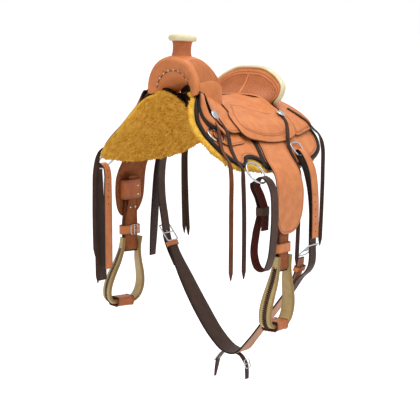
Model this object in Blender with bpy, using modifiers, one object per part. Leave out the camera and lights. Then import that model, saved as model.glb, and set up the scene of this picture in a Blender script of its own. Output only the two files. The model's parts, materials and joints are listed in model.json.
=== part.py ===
"""Wade saddle: a slick-fork ranch saddle with its rigging, flank cinch and hanging stirrups.

Frame: +X is the near (left) side of the horse, -Y is the front (horn), +Z is up. The origin is on
the middle plane, between the two sheepskins, where the saddle is held up.
"""
from math import cos, floor, pi, radians, sin

import bmesh
import bpy
from mathutils import Matrix, Vector
from mathutils.geometry import delaunay_2d_cdt

# Driving dimensions in metres
GAP = 0.0003
FLEECE = 0.014
SKIRT_TOP = FLEECE + GAP + 0.0055
BAR_TOP = 0.038
GROUND_TOP = 0.0425
SEAT_THICK = 0.005
SEAT_RISE = 0.022
SEAT_FLAP = 0.0272
JOCKEY_THICK = 0.0042
FENDER_THICK = 0.0045
FENDER_LOW = 0.0210

FORK_HALF = 0.107
FORK_TOP = 0.267
FORK_SPRING = 0.145
FORK_LEATHER = 0.005
FORK_BACK = -0.109
HORN_Y = -0.165
HORN_BASE = 0.262
HORN_TILT = 5
CANTLE_LEATHER = 0.006
CANTLE_WOOD = 0.014
DISH_SAG = 0.09
BINDING_WIDE = 0.030
BINDING_HIGH = 0.018

FENDER_X = 0.350
LEATHER_X = 0.333
BOLT_Y = -0.043
BOLT_Z = -0.442
LEATHER_WIDE = 0.056
STIRRUP_LEAN = 11
OFF_TURN = 18
CINCH_Y = 0.137
TURNED_SIDES = 24
LACE_WIDTH = 0.012
LACE_THICK = 0.003

# Sections across the horse's back, from the middle outwards: one at the withers, one at the loin
WITHERS = [(0, .160), (.030, .157), (.060, .147), (.085, .126), (.107, .089), (.130, .050),
           (.160, .014), (.190, -.013), (.219, -.039), (.247, -.064), (.273, -.088), (.297, -.112),
           (.320, -.136)]
LOIN = [(0, .070), (.036, .066), (.071, .057), (.103, .046), (.133, .032), (.162, .015),
        (.189, -.005), (.214, -.027), (.237, -.051), (.258, -.077), (.276, -.104), (.292, -.132),
        (.306, -.161)]
WITHERS_Y, LOIN_Y = -0.24, -0.02
LINE_STEP = 0.05
LINE_FIRST = -0.35
LINES = 15

LEATHER = (0.62, 0.30, 0.14)
LEATHER_SHADE = (0.46, 0.20, 0.09)
RAWHIDE = (0.82, 0.74, 0.52)
STIRRUP_HIDE = (0.62, 0.50, 0.28)
SHEARLING = (0.75, 0.48, 0.10)
LACE = (0.07, 0.03, 0.02)
LATIGO = (0.12, 0.035, 0.03)
CHROME = (0.80, 0.80, 0.80)
WOOD = (0.60, 0.45, 0.28)

SIDES = (("near", 1), ("off", -1))

# Outlines of the sheets over the back, as (u, y)
BAR_OUTLINE = [(1.2, -.10), (2.6, -.19), (3.2, -.236), (4.6, -.245), (5.6, -.225), (6.0, -.15),
               (6.0, .24), (5.4, .285), (3.5, .295), (1.5, .29), (1.2, .26)]
GROUND_OUTLINE = [(0, -.0985), (5.4, -.0985), (5.7, -.05), (5.7, .12), (5.2, .160), (0, .160)]
SKIRT_OUTLINE = [(2.6, -.215), (3.5, -.262), (4.8, -.300), (6.5, -.308), (8.2, -.300),
                 (9.6, -.278), (10.4, -.250), (10.7, -.222), (10.3, -.195), (9.6, -.170),
                 (9.5, -.130), (10.1, -.100), (10.9, -.085), (11, 0), (11, .10), (10.7, .18),
                 (10, .25), (9.2, .29), (8.2, .312), (7, .322), (5, .325), (3, .325), (.9, .32),
                 (.9, -.10), (1.5, -.19), (2.2, -.213)]
FRONT_JOCKEY = [(3.4, -.222), (4, -.225), (5, -.222), (6.5, -.205), (7.2, -.185), (7.5, -.16),
                (7.4, -.12), (7.2, -.1015), (3.4, -.1015)]
REAR_JOCKEY = [(.05, .222), (2.6, .222), (3.6, .234), (4.6, .229), (5, .216), (6.5, .200), (7.75, .185),
               (7.9, .22), (8, .26), (7.8, .29), (7.2, .31), (6, .318), (4, .312), (2, .305),
               (.05, .30)]
SEAT_OUTLINE = [(0, -.105), (4, -.108), (4.6, -.125), (6, -.132), (6.8, -.125), (7.25, -.10),
                (7.5, -.05), (7.75, 0), (7.85, .05), (7.8, .10), (7.55, .15), (7.3, .172),
                (5.2, .185), (4.4, .188), (3.2, .176), (1.6, .166), (0, .163)]

# Half of the cantle's dish as (x, y, z), from the middle to its end: its foot and its rim
CANTLE_BASE = [(0, .165, .143), (.040, .167, .138), (.070, .171, .127), (.094, .176, .115),
               (.108, .180, .104), (.117, .183, .093), (.122, .186, .083)]
CANTLE_RIM = [(0, .250, .215), (.060, .252, .210), (.100, .250, .195), (.133, .243, .168),
              (.152, .234, .137), (.153, .222, .110), (.144, .207, .093)]

# Where each concho sits: (u, y, height)
CONCHOS = {"front": (4.8, -.2005, .0474), "rear": (4.95, .162, .0568)}

# The saddle strings, each (side, first tail, over the leather as (u, y, height), second tail)
LACE_TOP = .0445
STRINGS = {
    "near_front_string": (
        1,
        [(.297, -.293, -.455), (.298, -.293, -.330), (.2985, -.293, -.200),
         (.2965, -.290, -.110)],
        [(9.8, -.284, .0240), (9, -.276, .0230), (8, -.262, .0260), (7, -.241, .0360),
         (6, -.221, LACE_TOP), (5.2, -.2095, LACE_TOP), (4.8, -.2065, LACE_TOP),
         (4.62, -.2005, LACE_TOP), (4.8, -.1945, LACE_TOP), (5.2, -.1925, LACE_TOP),
         (6, -.1925, LACE_TOP), (7, -.199, .0400), (8, -.213, .0280), (9, -.2275, .0230),
         (10, -.239, .0230), (10.7, -.243, .0245)],
        [(.3125, -.244, -.135), (.316, -.244, -.240), (.316, -.244, -.360),
         (.314, -.243, -.455)]),
    "off_front_string": (
        -1,
        [(.318, -.243, -.543), (.320, -.243, -.400), (.3195, -.243, -.250),
         (.3145, -.243, -.140)],
        [(10.7, -.2425, .0250), (10, -.239, .0235), (9, -.2275, .0230), (8, -.213, .0280),
         (7, -.199, .0400), (6, -.1925, LACE_TOP), (5.2, -.1925, LACE_TOP),
         (4.8, -.1945, LACE_TOP), (4.62, -.2005, LACE_TOP), (4.8, -.2065, LACE_TOP),
         (5.2, -.2085, LACE_TOP), (6, -.214, LACE_TOP), (7, -.226, .0400), (8, -.239, .0280),
         (9, -.250, .0250), (10, -.2575, .0265)],
        [(.308, -.262, -.130), (.313, -.262, -.220), (.314, -.262, -.330),
         (.312, -.262, -.442)]),
    "near_rear_string": (
        1,
        [],
        [(4.8, .162, .0522), (5.4, .158, .0515), (6, .150, .0505), (7, .124, .0450),
         (7.7, .104, .0398), (8.3, .0985, .0300), (9, .0975, .0236), (10, .096, .0230),
         (10.9, .0925, .0240)],
        [(.3180, .0900, -.150), (.3215, .0830, -.220), (.319, .0805, -.340),
         (.314, .0800, -.460)]),
    "near_back_string": (
        1,
        [],
        [(4, .262, .0450), (5, .272, .0450), (6, .286, .0450), (7, .302, .0370),
         (7.6, .322, .0300)],
        [(.2555, .340, -.065), (.257, .341, -.150), (.255, .339, -.280), (.250, .337, -.430)]),
    "off_rear_string": (
        -1,
        [(.300, .272, -.437), (.306, .270, -.300), (.3080, .268, -.180), (.3055, .266, -.118)],
        [(10, .262, .0232), (9, .250, .0232), (8, .232, .0270), (7, .210, .0380),
         (6, .188, .0500), (5.4, .1735, .0532), (5.05, .170, .0535), (4.85, .1665, .0535),
         (4.78, .162, .0535), (4.85, .1575, .0535), (5.05, .154, .0535), (5.4, .1545, .0532),
         (6, .158, .0515), (7, .172, .0450), (8, .206, .0310), (9, .231, .0232),
         (10, .246, .0232)],
        [(.3055, .2495, -.118), (.3085, .251, -.180), (.308, .252, -.300),
         (.303, .250, -.425)]),
}

# The near stirrup's band: (along the bolt, up from it, width) down to the middle of its tread
STIRRUP_SHAPE = [(.0435, .040, .030), (.0425, .000, .034), (.0480, -.045, .042),
                 (.0610, -.095, .048), (.0690, -.130, .050), (.0690, -.158, .050),
                 (.0600, -.183, .050), (.0420, -.197, .050), (.0210, -.198, .050),
                 (0, -.198, .050)]

# The fender's flap below the seat as (x, z), and the outline of its hanging plate as (y, z)
FLAP = [(.302, -.088), (.323, -.112), (.337, -.138), (.3425, -.158)]
FENDER_OUTLINE = [(-.086, -.130), (.070, -.130), (.067, -.180), (.067, -.236), (.056, -.296),
                  (.030, -.328), (.002, -.342), (-.066, -.342), (-.088, -.326), (-.100, -.290),
                  (-.103, -.236), (-.098, -.180)]

# Straps of the flank cinch in their upright plane, as (x, z, width)
NEAR_REAR_BILLET = [(.352, -.365, .044), (.353, -.300, .044), (.350, -.200, .044),
                    (.338, -.125, .044), (.315, -.080, .042), (.3005, -.0625, .042),
                    (.2895, -.0570, .042), (.2835, -.0665, .042), (.2895, -.0798, .042),
                    (.3045, -.1020, .042), (.3175, -.135, .044), (.322, -.200, .044),
                    (.322, -.300, .044), (.327, -.360, .044), (.337, -.399, .044),
                    (.343, -.430, .044), (.340, -.460, .044), (.326, -.485, .044),
                    (.298, -.510, .044), (.2690, -.5505, .044), (.2505, -.5780, .042)]
OFF_REAR_BILLET = [(.369, -.500, .034), (.362, -.400, .044), (.352, -.270, .044),
                   (.340, -.165, .044), (.322, -.095, .044), (.3045, -.0660, .042),
                   (.2895, -.0570, .042), (.2835, -.0665, .042), (.2895, -.0798, .042),
                   (.3045, -.1020, .042), (.3175, -.135, .044), (.325, -.200, .044),
                   (.322, -.280, .044), (.312, -.340, .044), (.3040, -.3880, .044),
                   (.2990, -.4230, .044), (.2800, -.4700, .044), (.2500, -.5250, .042)]
FLANK_CINCH = [(-.2755, -.4350, .046), (-.262, -.475, .052), (-.205, -.575, .078),
               (-.140, -.675, .090), (-.070, -.765, .090), (-.010, -.812, .090),
               (.040, -.815, .085), (.090, -.765, .070), (.150, -.690, .062),
               (.210, -.615, .058), (.260, -.545, .052), (.286, -.490, .048),
               (.2942, -.4400, .046)]
CONNECTOR = [(.038, -.829, .022), (.053, -.843, .022), (.0645, -.862, .022), (.0675, -.890, .022),
             (.0675, -.915, .020)]
CENTRE_STRAP = [(-.030, -.820, .030), (-.046, -.835, .028), (-.060, -.853, .026),
                (-.068, -.885, .022), (-.076, -.925, .010)]

# The off front billet and the tied-up latigo, as (x, y, z, width)
OFF_BILLET = [(.322, -.178, -.500, .042), (.322, -.178, -.300, .042), (.322, -.178, -.200, .040),
              (.3205, -.180, -.155, .036), (.3275, -.180, -.131, .034), (.345, -.180, -.119, .034),
              (.359, -.180, -.135, .036), (.361, -.178, -.200, .040), (.356, -.177, -.350, .042),
              (.350, -.178, -.545, .042)]
LATIGO_RUN = [(.333, -.161, -.300, .040), (.333, -.160, -.235, .040), (.321, -.166, -.185, .038),
              (.3200, -.178, -.152, .034), (.3275, -.181, -.131, .034),
              (.345, -.180, -.118, .034), (.363, -.171, -.130, .036), (.373, -.157, -.165, .040),
              (.374, -.149, -.240, .042), (.373, -.155, -.330, .042), (.368, -.163, -.395, .042),
              (.346, -.168, -.434, .042), (.314, -.168, -.428, .042), (.293, -.165, -.385, .042),
              (.296, -.161, -.310, .042), (.312, -.158, -.235, .040), (.307, -.160, -.195, .040),
              (.293, -.165, -.160, .040), (.295, -.171, -.137, .040)]
KEEPER = (.3225, -.160, -.235)

# Hinge places, each straight above what hangs on it
LEATHER_HINGE = {"near": (.350, -.0467, -.145), "off": (-.350, -.0465, -.145)}
LATIGO_HINGE = (.345, -.1615, -.140)
OFF_BILLET_HINGE = (-.345, -.178, -.140)
FLANK_HINGE = (0, CINCH_Y, -.067)
CONNECTOR_HINGE = (.038, CINCH_Y, -.829)


def clear_scene():
    for obj in list(bpy.data.objects):
        bpy.data.objects.remove(obj, do_unlink=True)


def collection(name):
    group = bpy.data.collections.new(name)
    bpy.context.scene.collection.children.link(group)
    return group


clear_scene()
SADDLE = collection("wade_saddle")
CUTTERS = collection("cutters")


def material(name, colour, roughness=0.6, metallic=0.0):
    mat = bpy.data.materials.new(name)
    mat.use_nodes = True
    shader = mat.node_tree.nodes["Principled BSDF"]
    shader.inputs["Base Color"].default_value = (*colour, 1)
    shader.inputs["Roughness"].default_value = roughness
    shader.inputs["Metallic"].default_value = metallic
    return mat


def add(name, mesh, colour, roughness=0.6, metallic=0.0, group=SADDLE):
    """Put a mesh in the scene as one named sub-part with its own material."""
    obj = bpy.data.objects.new(name, mesh)
    group.objects.link(obj)
    mesh.materials.append(material(name, colour, roughness, metallic))
    if group == CUTTERS:
        obj.hide_render = True
        obj.display_type = "WIRE"
    return obj


def mesh_from(name, bm):
    bmesh.ops.recalc_face_normals(bm, faces=bm.faces)
    mesh = bpy.data.meshes.new(name)
    bm.to_mesh(mesh)
    bm.free()
    return mesh


def cut(obj, cutter, operation="DIFFERENCE"):
    mod = obj.modifiers.new(cutter.name, "BOOLEAN")
    mod.operation = operation
    mod.solver = "EXACT"
    mod.object = cutter
    return obj


def smooth_step(t):
    t = min(max(t, 0.0), 1.0)
    return t * t * (3 - 2 * t)


# The back surface: (u, y) is a place on it, u in section points outwards and y in metres

def section_point(k, y, height):
    """The point at section point k, lifted square to the section by height."""
    def frame(section):
        last = len(section) - 1
        before, after = section[max(k - 1, 0)], section[min(k + 1, last)]
        if k == 0:
            before = (-section[1][0], section[1][1])
        run = Vector((after[0] - before[0], after[1] - before[1])).normalized()
        return Vector(section[k]) + Vector((-run.y, run.x)) * height
    t = smooth_step((y - WITHERS_Y) / (LOIN_Y - WITHERS_Y))
    return frame(WITHERS).lerp(frame(LOIN), t)


def on_back(u, y, height, side=1):
    """A point over the back; between grid lines it lies on the flat triangles of the grid."""
    k = min(max(int(floor(u + 1e-9)), 0), len(WITHERS) - 2)
    row = (y - LINE_FIRST) / LINE_STEP
    j = min(max(int(floor(row + 1e-9)), 0), LINES - 2)
    a, b = u - k, row - j
    lift = height if callable(height) else (lambda *_: height)

    def corner(di, dj):
        line = LINE_FIRST + (j + dj) * LINE_STEP
        p = section_point(k + di, line, lift(k + di, line))
        return Vector((p.x, line, p.y))
    if a >= b:
        p = corner(0, 0) + (corner(1, 0) - corner(0, 0)) * a + (corner(1, 1) - corner(1, 0)) * b
    else:
        p = corner(0, 0) + (corner(0, 1) - corner(0, 0)) * b + (corner(1, 1) - corner(0, 1)) * a
    return Vector((side * p.x, p.y, p.z))


def grid_lines(u_max):
    """The grid's points and edges in (u, y), with the diagonals of its cells."""
    points, edges = [], []
    columns = u_max + 1
    for j in range(LINES):
        for k in range(columns):
            points.append((k, LINE_FIRST + j * LINE_STEP))
            here = j * columns + k
            if k:
                edges.append((here - 1, here))
            if j:
                edges.append((here - columns, here))
            if k and j:
                edges.append((here - columns - 1, here))
    return points, edges


def back_sheet(name, outline, low, high, side, colour, group=SADDLE, roughness=0.6):
    """A sheet over the back: its outline is in (u, y), low and high are its heights.

    With side 0 the sheet is open at the middle plane and mirrored across it."""
    points, edges = grid_lines(len(WITHERS) - 1)
    first = len(points)
    coords = [Vector((u / 10, y)) for u, y in points + list(outline)]
    face = list(range(first, first + len(outline)))
    verts, _, faces, _, _, face_origin = delaunay_2d_cdt(coords, edges, [face], 0, 1e-6)
    bm = bmesh.new()
    hand = side or 1
    lower = [bm.verts.new(on_back(v.x * 10, v.y, low, hand)) for v in verts]
    upper = [bm.verts.new(on_back(v.x * 10, v.y, high, hand)) for v in verts]
    border = {}
    for f, origin in zip(faces, face_origin):
        if not origin:
            continue
        bm.faces.new([upper[i] for i in f])
        bm.faces.new([lower[i] for i in reversed(f)])
        for a, b in zip(f, f[1:] + f[:1]):
            if (b, a) in border:
                del border[(b, a)]
            else:
                border[(a, b)] = True
    for a, b in border:
        if side or max(verts[a].x, verts[b].x) > 1e-5:
            bm.faces.new((upper[b], upper[a], lower[a], lower[b]))
    loose = [v for v in bm.verts if not v.link_faces]
    bmesh.ops.delete(bm, geom=loose, context="VERTS")
    obj = add(name, mesh_from(name, bm), colour, roughness, group=group)
    if not side:
        mirror = obj.modifiers.new("other_half", "MIRROR")
        mirror.merge_threshold = 0.00005
    return obj


# Lofts, straps and wires

def loft(name, rings, colour, closed=False, roughness=0.6, metallic=0.0, group=SADDLE):
    """Skin a row of rings with the same number of points; an open row gets two end faces."""
    bm = bmesh.new()
    rows = [[bm.verts.new(p) for p in ring] for ring in rings]
    count = len(rows[0])
    pairs = list(zip(rows, rows[1:]))
    if closed:
        pairs.append((rows[-1], rows[0]))
    for one, two in pairs:
        for i in range(count):
            j = (i + 1) % count
            bm.faces.new((one[i], one[j], two[j]))
            bm.faces.new((one[i], two[j], two[i]))
    if not closed:
        bm.faces.new(list(reversed(rows[0])))
        bm.faces.new(rows[-1])
    return add(name, mesh_from(name, bm), colour, roughness, metallic, group)


def spline(keys, steps, closed=False):
    """Points on a smooth curve through the keys, each a tuple of any length."""
    n = len(keys)
    keys = [Vector(k) for k in keys]
    out = []
    spans = n if closed else n - 1
    for i in range(spans):
        if closed:
            a, b, c, d = (keys[(i + o) % n] for o in (-1, 0, 1, 2))
        else:
            b, c = keys[i], keys[i + 1]
            a = keys[i - 1] if i else b + (b - c)
            d = keys[i + 2] if i + 2 < n else c + (c - b)
        for s in range(steps):
            t = s / steps
            out.append(0.5 * (2 * b + (c - a) * t + (2 * a - 5 * b + 4 * c - d) * t * t
                              + (3 * b - a - 3 * c + d) * t ** 3))
    if not closed:
        out.append(keys[-1])
    return out


def strap(name, keys, across, thickness, colour, steps=2, closed=False, sides=0, roughness=0.6):
    """A strap swept along its keys, each (x, y, z, width). across is the direction of its width:
    one for the whole strap or one for each key. With sides, its section is an ellipse."""
    n = len(keys)
    turns = [Vector(a) for a in across] if isinstance(across, list) else [Vector(across)] * n
    rows = spline([(*key, *turn) for key, turn in zip(keys, turns)], steps, closed)
    path = [Vector(row[:3]) for row in rows]
    last = len(path) - 1
    rings = []
    for i, p in enumerate(path):
        before = path[i - 1] if i or closed else p
        after = path[(i + 1) % len(path)] if i < last or closed else p
        run = (after - before).normalized()
        wide = Vector(rows[i][4:7])
        wide = (wide - run * wide.dot(run)).normalized()
        thin = run.cross(wide) * thickness / 2
        wide = wide * rows[i][3] / 2
        if sides:
            turn = 2 * pi / sides
            rings.append([p + wide * cos(turn * k) + thin * sin(turn * k) for k in range(sides)])
        else:
            rings.append([p + wide + thin, p - wide + thin, p - wide - thin, p + wide - thin])
    return loft(name, rings, colour, closed, roughness)


def mesh_of_curve(obj):
    """Turn a curve object into a welded mesh object of the same name and place."""
    name, matrix = obj.name, obj.matrix_world.copy()
    evaluated = obj.evaluated_get(bpy.context.evaluated_depsgraph_get())
    mesh = bpy.data.meshes.new_from_object(evaluated)
    groups, mats = list(obj.users_collection), list(obj.data.materials)
    bpy.data.objects.remove(obj, do_unlink=True)
    bm = bmesh.new()
    bm.from_mesh(mesh)
    bmesh.ops.remove_doubles(bm, verts=bm.verts, dist=0.00001)
    bmesh.ops.recalc_face_normals(bm, faces=bm.faces)
    bm.to_mesh(mesh)
    bm.free()
    out = bpy.data.objects.new(name, mesh)
    if not mesh.materials:
        for mat in mats:
            mesh.materials.append(mat)
    for group in groups:
        group.objects.link(out)
    out.matrix_world = matrix
    return out


def wire(name, points, radius, colour, cyclic=False, metallic=1.0, resolution=1):
    """A round bar along the points."""
    curve = bpy.data.curves.new(name, "CURVE")
    curve.dimensions = "3D"
    curve.bevel_depth = radius
    curve.bevel_resolution = resolution
    curve.use_fill_caps = True
    line = curve.splines.new("POLY")
    line.points.add(len(points) - 1)
    for slot, p in zip(line.points, points):
        slot.co = (*p, 1)
    line.use_cyclic_u = cyclic
    obj = bpy.data.objects.new(name, curve)
    SADDLE.objects.link(obj)
    curve.materials.append(material(name, colour, 0.25, metallic))
    return mesh_of_curve(obj)


def plate(name, loops, thickness, matrix, colour, metallic=0.0, roughness=0.6):
    """A flat plate with holes: loops are closed outlines in its own plane, the outer one first."""
    curve = bpy.data.curves.new(name, "CURVE")
    curve.dimensions = "2D"
    curve.fill_mode = "BOTH"
    curve.extrude = thickness / 2
    for loop in loops:
        line = curve.splines.new("POLY")
        line.points.add(len(loop) - 1)
        for slot, p in zip(line.points, loop):
            slot.co = (p[0], p[1], 0, 1)
        line.use_cyclic_u = True
    obj = bpy.data.objects.new(name, curve)
    SADDLE.objects.link(obj)
    curve.materials.append(material(name, colour, roughness, metallic))
    obj.matrix_world = matrix
    bpy.context.view_layer.update()
    return mesh_of_curve(obj)


def axes_at(origin, right, up):
    """A placing matrix whose local X is right, local Y is up and local Z their cross product."""
    right = Vector(right).normalized()
    out = right.cross(Vector(up)).normalized()
    up = out.cross(right)
    return Matrix.LocRotScale(Vector(origin), Matrix((right, up, out)).transposed(), None)


def round_box(half_x, half_y, corner, steps=3):
    """The outline of a rectangle with round corners."""
    out = []
    for quarter, (sx, sy) in enumerate(((1, 1), (-1, 1), (-1, -1), (1, -1))):
        for i in range(steps):
            a = pi / 2 * (quarter + i / (steps - 1))
            out.append((sx * (half_x - corner) + corner * cos(a),
                        sy * (half_y - corner) + corner * sin(a)))
    return out


def turned(name, profile, centre, tilt, colour, roughness=0.6, metallic=0.0, group=SADDLE):
    """A turned piece: profile is (radius, z) from the bottom up, or a closed loop."""
    closed = profile[0] == profile[-1]
    points = profile[:-1] if closed else [(0, profile[0][1]), *profile, (0, profile[-1][1])]
    last = len(points) - 1
    edges = [(i, i + 1) for i in range(last)]
    if closed:
        edges.append((last, 0))
    mesh = bpy.data.meshes.new(name)
    mesh.from_pydata([(r, 0, z) for r, z in reversed(points)], edges, [])
    obj = add(name, mesh, colour, roughness, metallic, group)
    obj.location = centre
    obj.rotation_euler.x = radians(tilt)
    screw = obj.modifiers.new("turn", "SCREW")
    screw.steps = TURNED_SIDES
    screw.render_steps = TURNED_SIDES
    screw.use_merge_vertices = True
    screw.merge_threshold = 0.0001
    return obj


# Tree: two bars, fork with its horn post, cantle and ground seat

FORK_STATIONS = [(-.2225, .096, .252), (-.218, .104, .262), (-.208, .108, .2665),
                 (-.180, .112, .269), (-.150, .117, .267), (-.125, .120, .259),
                 (-.105, .122, .236), (-.094, .119, .198), (-.089, .110, .172)]
GULLET_STATIONS = [(-.240, .090, .207), (-.222, .082, .200), (-.205, .070, .190),
                   (-.180, .058, .180), (-.150, .050, .174), (-.060, .047, .170)]
ARCH_STEPS = 12


def arch(y, half, top, foot=0.09, inset=0.0):
    """An arch section: half an ellipse over two straight legs."""
    half, top = half - inset, top - inset
    ring = []
    for i in range(ARCH_STEPS + 1):
        a = pi * i / ARCH_STEPS
        ring.append((half * cos(a), y, FORK_SPRING + (top - FORK_SPRING) * sin(a)))
    ring.append((-half, y, foot))
    ring.append((half, y, foot))
    return ring


def fork_body(name, inset, colour, foot=0.09, group=SADDLE):
    front, back = FORK_STATIONS[0][0] + inset, FORK_STATIONS[-1][0] - inset
    rings = [arch(front, FORK_STATIONS[0][1], FORK_STATIONS[0][2], foot, inset)]
    for y, half, top in FORK_STATIONS[1:-1]:
        if front + .002 < y < back - .002:
            rings.append(arch(y, half, top, foot, inset))
    rings.append(arch(back, FORK_STATIONS[-1][1], FORK_STATIONS[-1][2], foot, inset))
    return loft(name, rings, colour, group=group)


def gullet_cutter(name, grow):
    """The flared tunnel under the fork, larger by grow for the wood than for the leather."""
    rings = [arch(y, half, top, foot=0.01 + grow, inset=-grow) for y, half, top in GULLET_STATIONS]
    return loft(name, rings, WOOD, group=CUTTERS)


def block(name, low, high):
    """A box cutter between two corners."""
    bpy.ops.mesh.primitive_cube_add(size=1)
    obj = bpy.context.active_object
    for group in list(obj.users_collection):
        group.objects.unlink(obj)
    CUTTERS.objects.link(obj)
    obj.name = name
    obj.location = (Vector(low) + Vector(high)) / 2
    obj.scale = Vector(high) - Vector(low)
    obj.hide_render = True
    obj.display_type = "WIRE"
    return obj


def flip(points, side):
    """The same keys on the other side of the saddle."""
    return [(side * p[0], *p[1:]) for p in points]


def make_tree():
    for word, side in SIDES:
        back_sheet(f"{word}_tree_bar", BAR_OUTLINE, SKIRT_TOP + GAP, BAR_TOP, side, WOOD)
    back_sheet("ground_seat", GROUND_OUTLINE, BAR_TOP + GAP, GROUND_TOP, 0, WOOD)


def make_beds(name, inner, front, back):
    """Cutters that shape the foot of a piece to the bars it stands on."""
    beds = []
    for word, side in SIDES:
        area = [(inner, front), (9, front), (9, back), (inner, back)]
        beds.append(back_sheet(f"{word}_{name}", area, -0.045, BAR_TOP + GAP, side, WOOD,
                               group=CUTTERS))
    return beds


def make_fork():
    """The wooden fork with its horn post, and the leather over it, open at the feet."""
    seat_cut = block("seat_front_clearance", (-.2, FORK_BACK, 0), (.2, 0, .166))
    beds = make_beds("fork_bed", 1.0, -.34, 0)
    wood = fork_body("tree_fork", FORK_LEATHER + GAP, WOOD)
    cut(wood, gullet_cutter("wood_gullet", FORK_LEATHER + GAP))
    cover = fork_body("fork_cover", 0.0, LEATHER)
    hollow = fork_body("fork_hollow", FORK_LEATHER, WOOD, foot=0.05, group=CUTTERS)
    cut(hollow, gullet_cutter("hollow_gullet", FORK_LEATHER))
    cut(cover, hollow)
    cut(cover, gullet_cutter("cover_gullet", 0.0))
    for obj in (wood, cover):
        for bed in beds:
            cut(obj, bed)
        cut(obj, seat_cut)
    centre = Vector((0, HORN_Y, HORN_BASE))
    post = turned("horn_post", [(.026, -.03), (.026, .054), (.0445, .0545), (.0445, .0665)],
                  centre, -HORN_TILT, WOOD, group=CUTTERS)
    hole = turned("horn_hole", [(.0268, -.05), (.0268, .05)], centre, -HORN_TILT, WOOD,
                  group=CUTTERS)
    cut(wood, post, "UNION")
    cut(cover, hole)
    wrap = turned("horn_wrap", [(.0265, -.004), (.038, -.004), (.034, .010), (.0315, .022),
                                (.0318, .036), (.0345, .0538), (.0265, .0538), (.0265, -.004)],
                  centre, -HORN_TILT, LEATHER)
    cut(wrap, fork_body("wrap_seat", -GAP, WOOD, group=CUTTERS))
    turned("horn_cap", [(.0450, .0670), (.0450, .0545), (.0500, .0545), (.0518, .061),
                        (.0512, .070), (.0480, .0752), (.0400, .0770)],
           centre, -HORN_TILT, RAWHIDE)


def seat_rise(u, y):
    """How far the seat climbs towards the cantle."""
    return SEAT_RISE * smooth_step((y - .07) / .09) * smooth_step((5.2 - u) / 2.5)


def seat_low(u, y):
    over_bar = GROUND_TOP + 2 * GAP + seat_rise(u, y)
    return over_bar + (SEAT_FLAP - over_bar) * smooth_step((u - 6) / 2)


def drape(u, _):
    """The height of leather that lies over the bars and falls to the skirt."""
    return BAR_TOP + GAP - (BAR_TOP - SKIRT_TOP) * smooth_step((u - 6) / 2)


def make_seat():
    back_sheet("seat_leather", SEAT_OUTLINE, seat_low, lambda u, y: seat_low(u, y) + SEAT_THICK,
               0, LEATHER)
    for word, side in SIDES:
        for end, outline in (("front", FRONT_JOCKEY), ("rear", REAR_JOCKEY)):
            back_sheet(f"{word}_{end}_jockey", outline, drape,
                       lambda u, y: drape(u, y) + JOCKEY_THICK - GAP, side, LEATHER)


def cantle_row(share, back):
    """A row across the cantle: share 0 is the seat's edge, 1 the rim; back moves it rearwards."""
    row = []
    for low, high in zip(CANTLE_BASE, CANTLE_RIM):
        low, high = Vector(low), Vector(high)
        sag = (high - low).length * DISH_SAG * 4 * share * (1 - share)
        row.append(low.lerp(high, share) + Vector((0, back + sag / 2, -sag)))
    return row


def slab(name, fronts, backs, colour, half=False):
    """A bent sheet between two grids of points; a half one is mirrored at its first column."""
    bm = bmesh.new()
    grids = [[[bm.verts.new(p) for p in row] for row in side] for side in (fronts, backs)]
    front, back = grids
    width = len(front[0])
    for i in range(len(front) - 1):
        for k in range(width - 1):
            for grid in grids:
                bm.faces.new((grid[i][k], grid[i][k + 1], grid[i + 1][k + 1]))
                bm.faces.new((grid[i][k], grid[i + 1][k + 1], grid[i + 1][k]))
        for k in ([width - 1] if half else [0, width - 1]):
            bm.faces.new((front[i][k], back[i][k], back[i + 1][k], front[i + 1][k]))
    for i in (0, -1):
        for k in range(width - 1):
            bm.faces.new((front[i][k], front[i][k + 1], back[i][k + 1], back[i][k]))
    obj = add(name, mesh_from(name, bm), colour)
    if half:
        mirror = obj.modifiers.new("other_half", "MIRROR")
        mirror.merge_threshold = 0.00005
    return obj


def cantle_layer(name, front, back, colour, foot=None):
    """One layer of the cantle: the dish moved rearwards, on a foot if it stands on the bars."""
    sides = []
    for move in (front, back):
        rows = [cantle_row(1 - i / 5, move) for i in range(6)]
        if foot:
            rows.append([Vector((p.x, p.y, foot)) for p in rows[-1]])
        sides.append(rows)
    return slab(name, *sides, colour, half=True)


def make_cantle():
    leather_back = CANTLE_LEATHER + GAP
    wood_back = leather_back + CANTLE_WOOD
    cantle_layer("cantle_face", 0, CANTLE_LEATHER, LEATHER)
    wood = cantle_layer("tree_cantle", leather_back, wood_back, WOOD, foot=.05)
    back = cantle_layer("cantle_back", wood_back + GAP, wood_back + GAP + CANTLE_LEATHER, LEATHER,
                        foot=.05)
    for bed in make_beds("cantle_bed", 0, .12, .30):
        cut(wood, bed)
        cut(back, bed)
    stack = wood_back + GAP + CANTLE_LEATHER
    keys = []
    rim = [Vector(p) for p in CANTLE_RIM]
    for i, p in enumerate(rim):
        before, after = rim[max(i - 1, 0)], rim[min(i + 1, len(rim) - 1)]
        run = (after - before).normalized()
        out = Vector((-run.z, 0, run.x)).normalized()
        if out.z < 0 and i < 3:
            out = -out
        centre = p + Vector((0, stack / 2, 0)) + out * (BINDING_HIGH / 2 + GAP)
        keys.append((*centre, BINDING_WIDE))
    left = [(-x, y, z, w) for x, y, z, w in reversed(keys[1:])]
    strap("cantle_binding", left + keys, (0, 1, 0), BINDING_HIGH, RAWHIDE, steps=2, sides=8)


def make_skirts():
    for word, side in SIDES:
        back_sheet(f"{word}_sheepskin", SKIRT_OUTLINE, 0, FLEECE, side, SHEARLING, roughness=1)
        back_sheet(f"{word}_skirt", SKIRT_OUTLINE, FLEECE + GAP, SKIRT_TOP, side, LEATHER)


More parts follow.
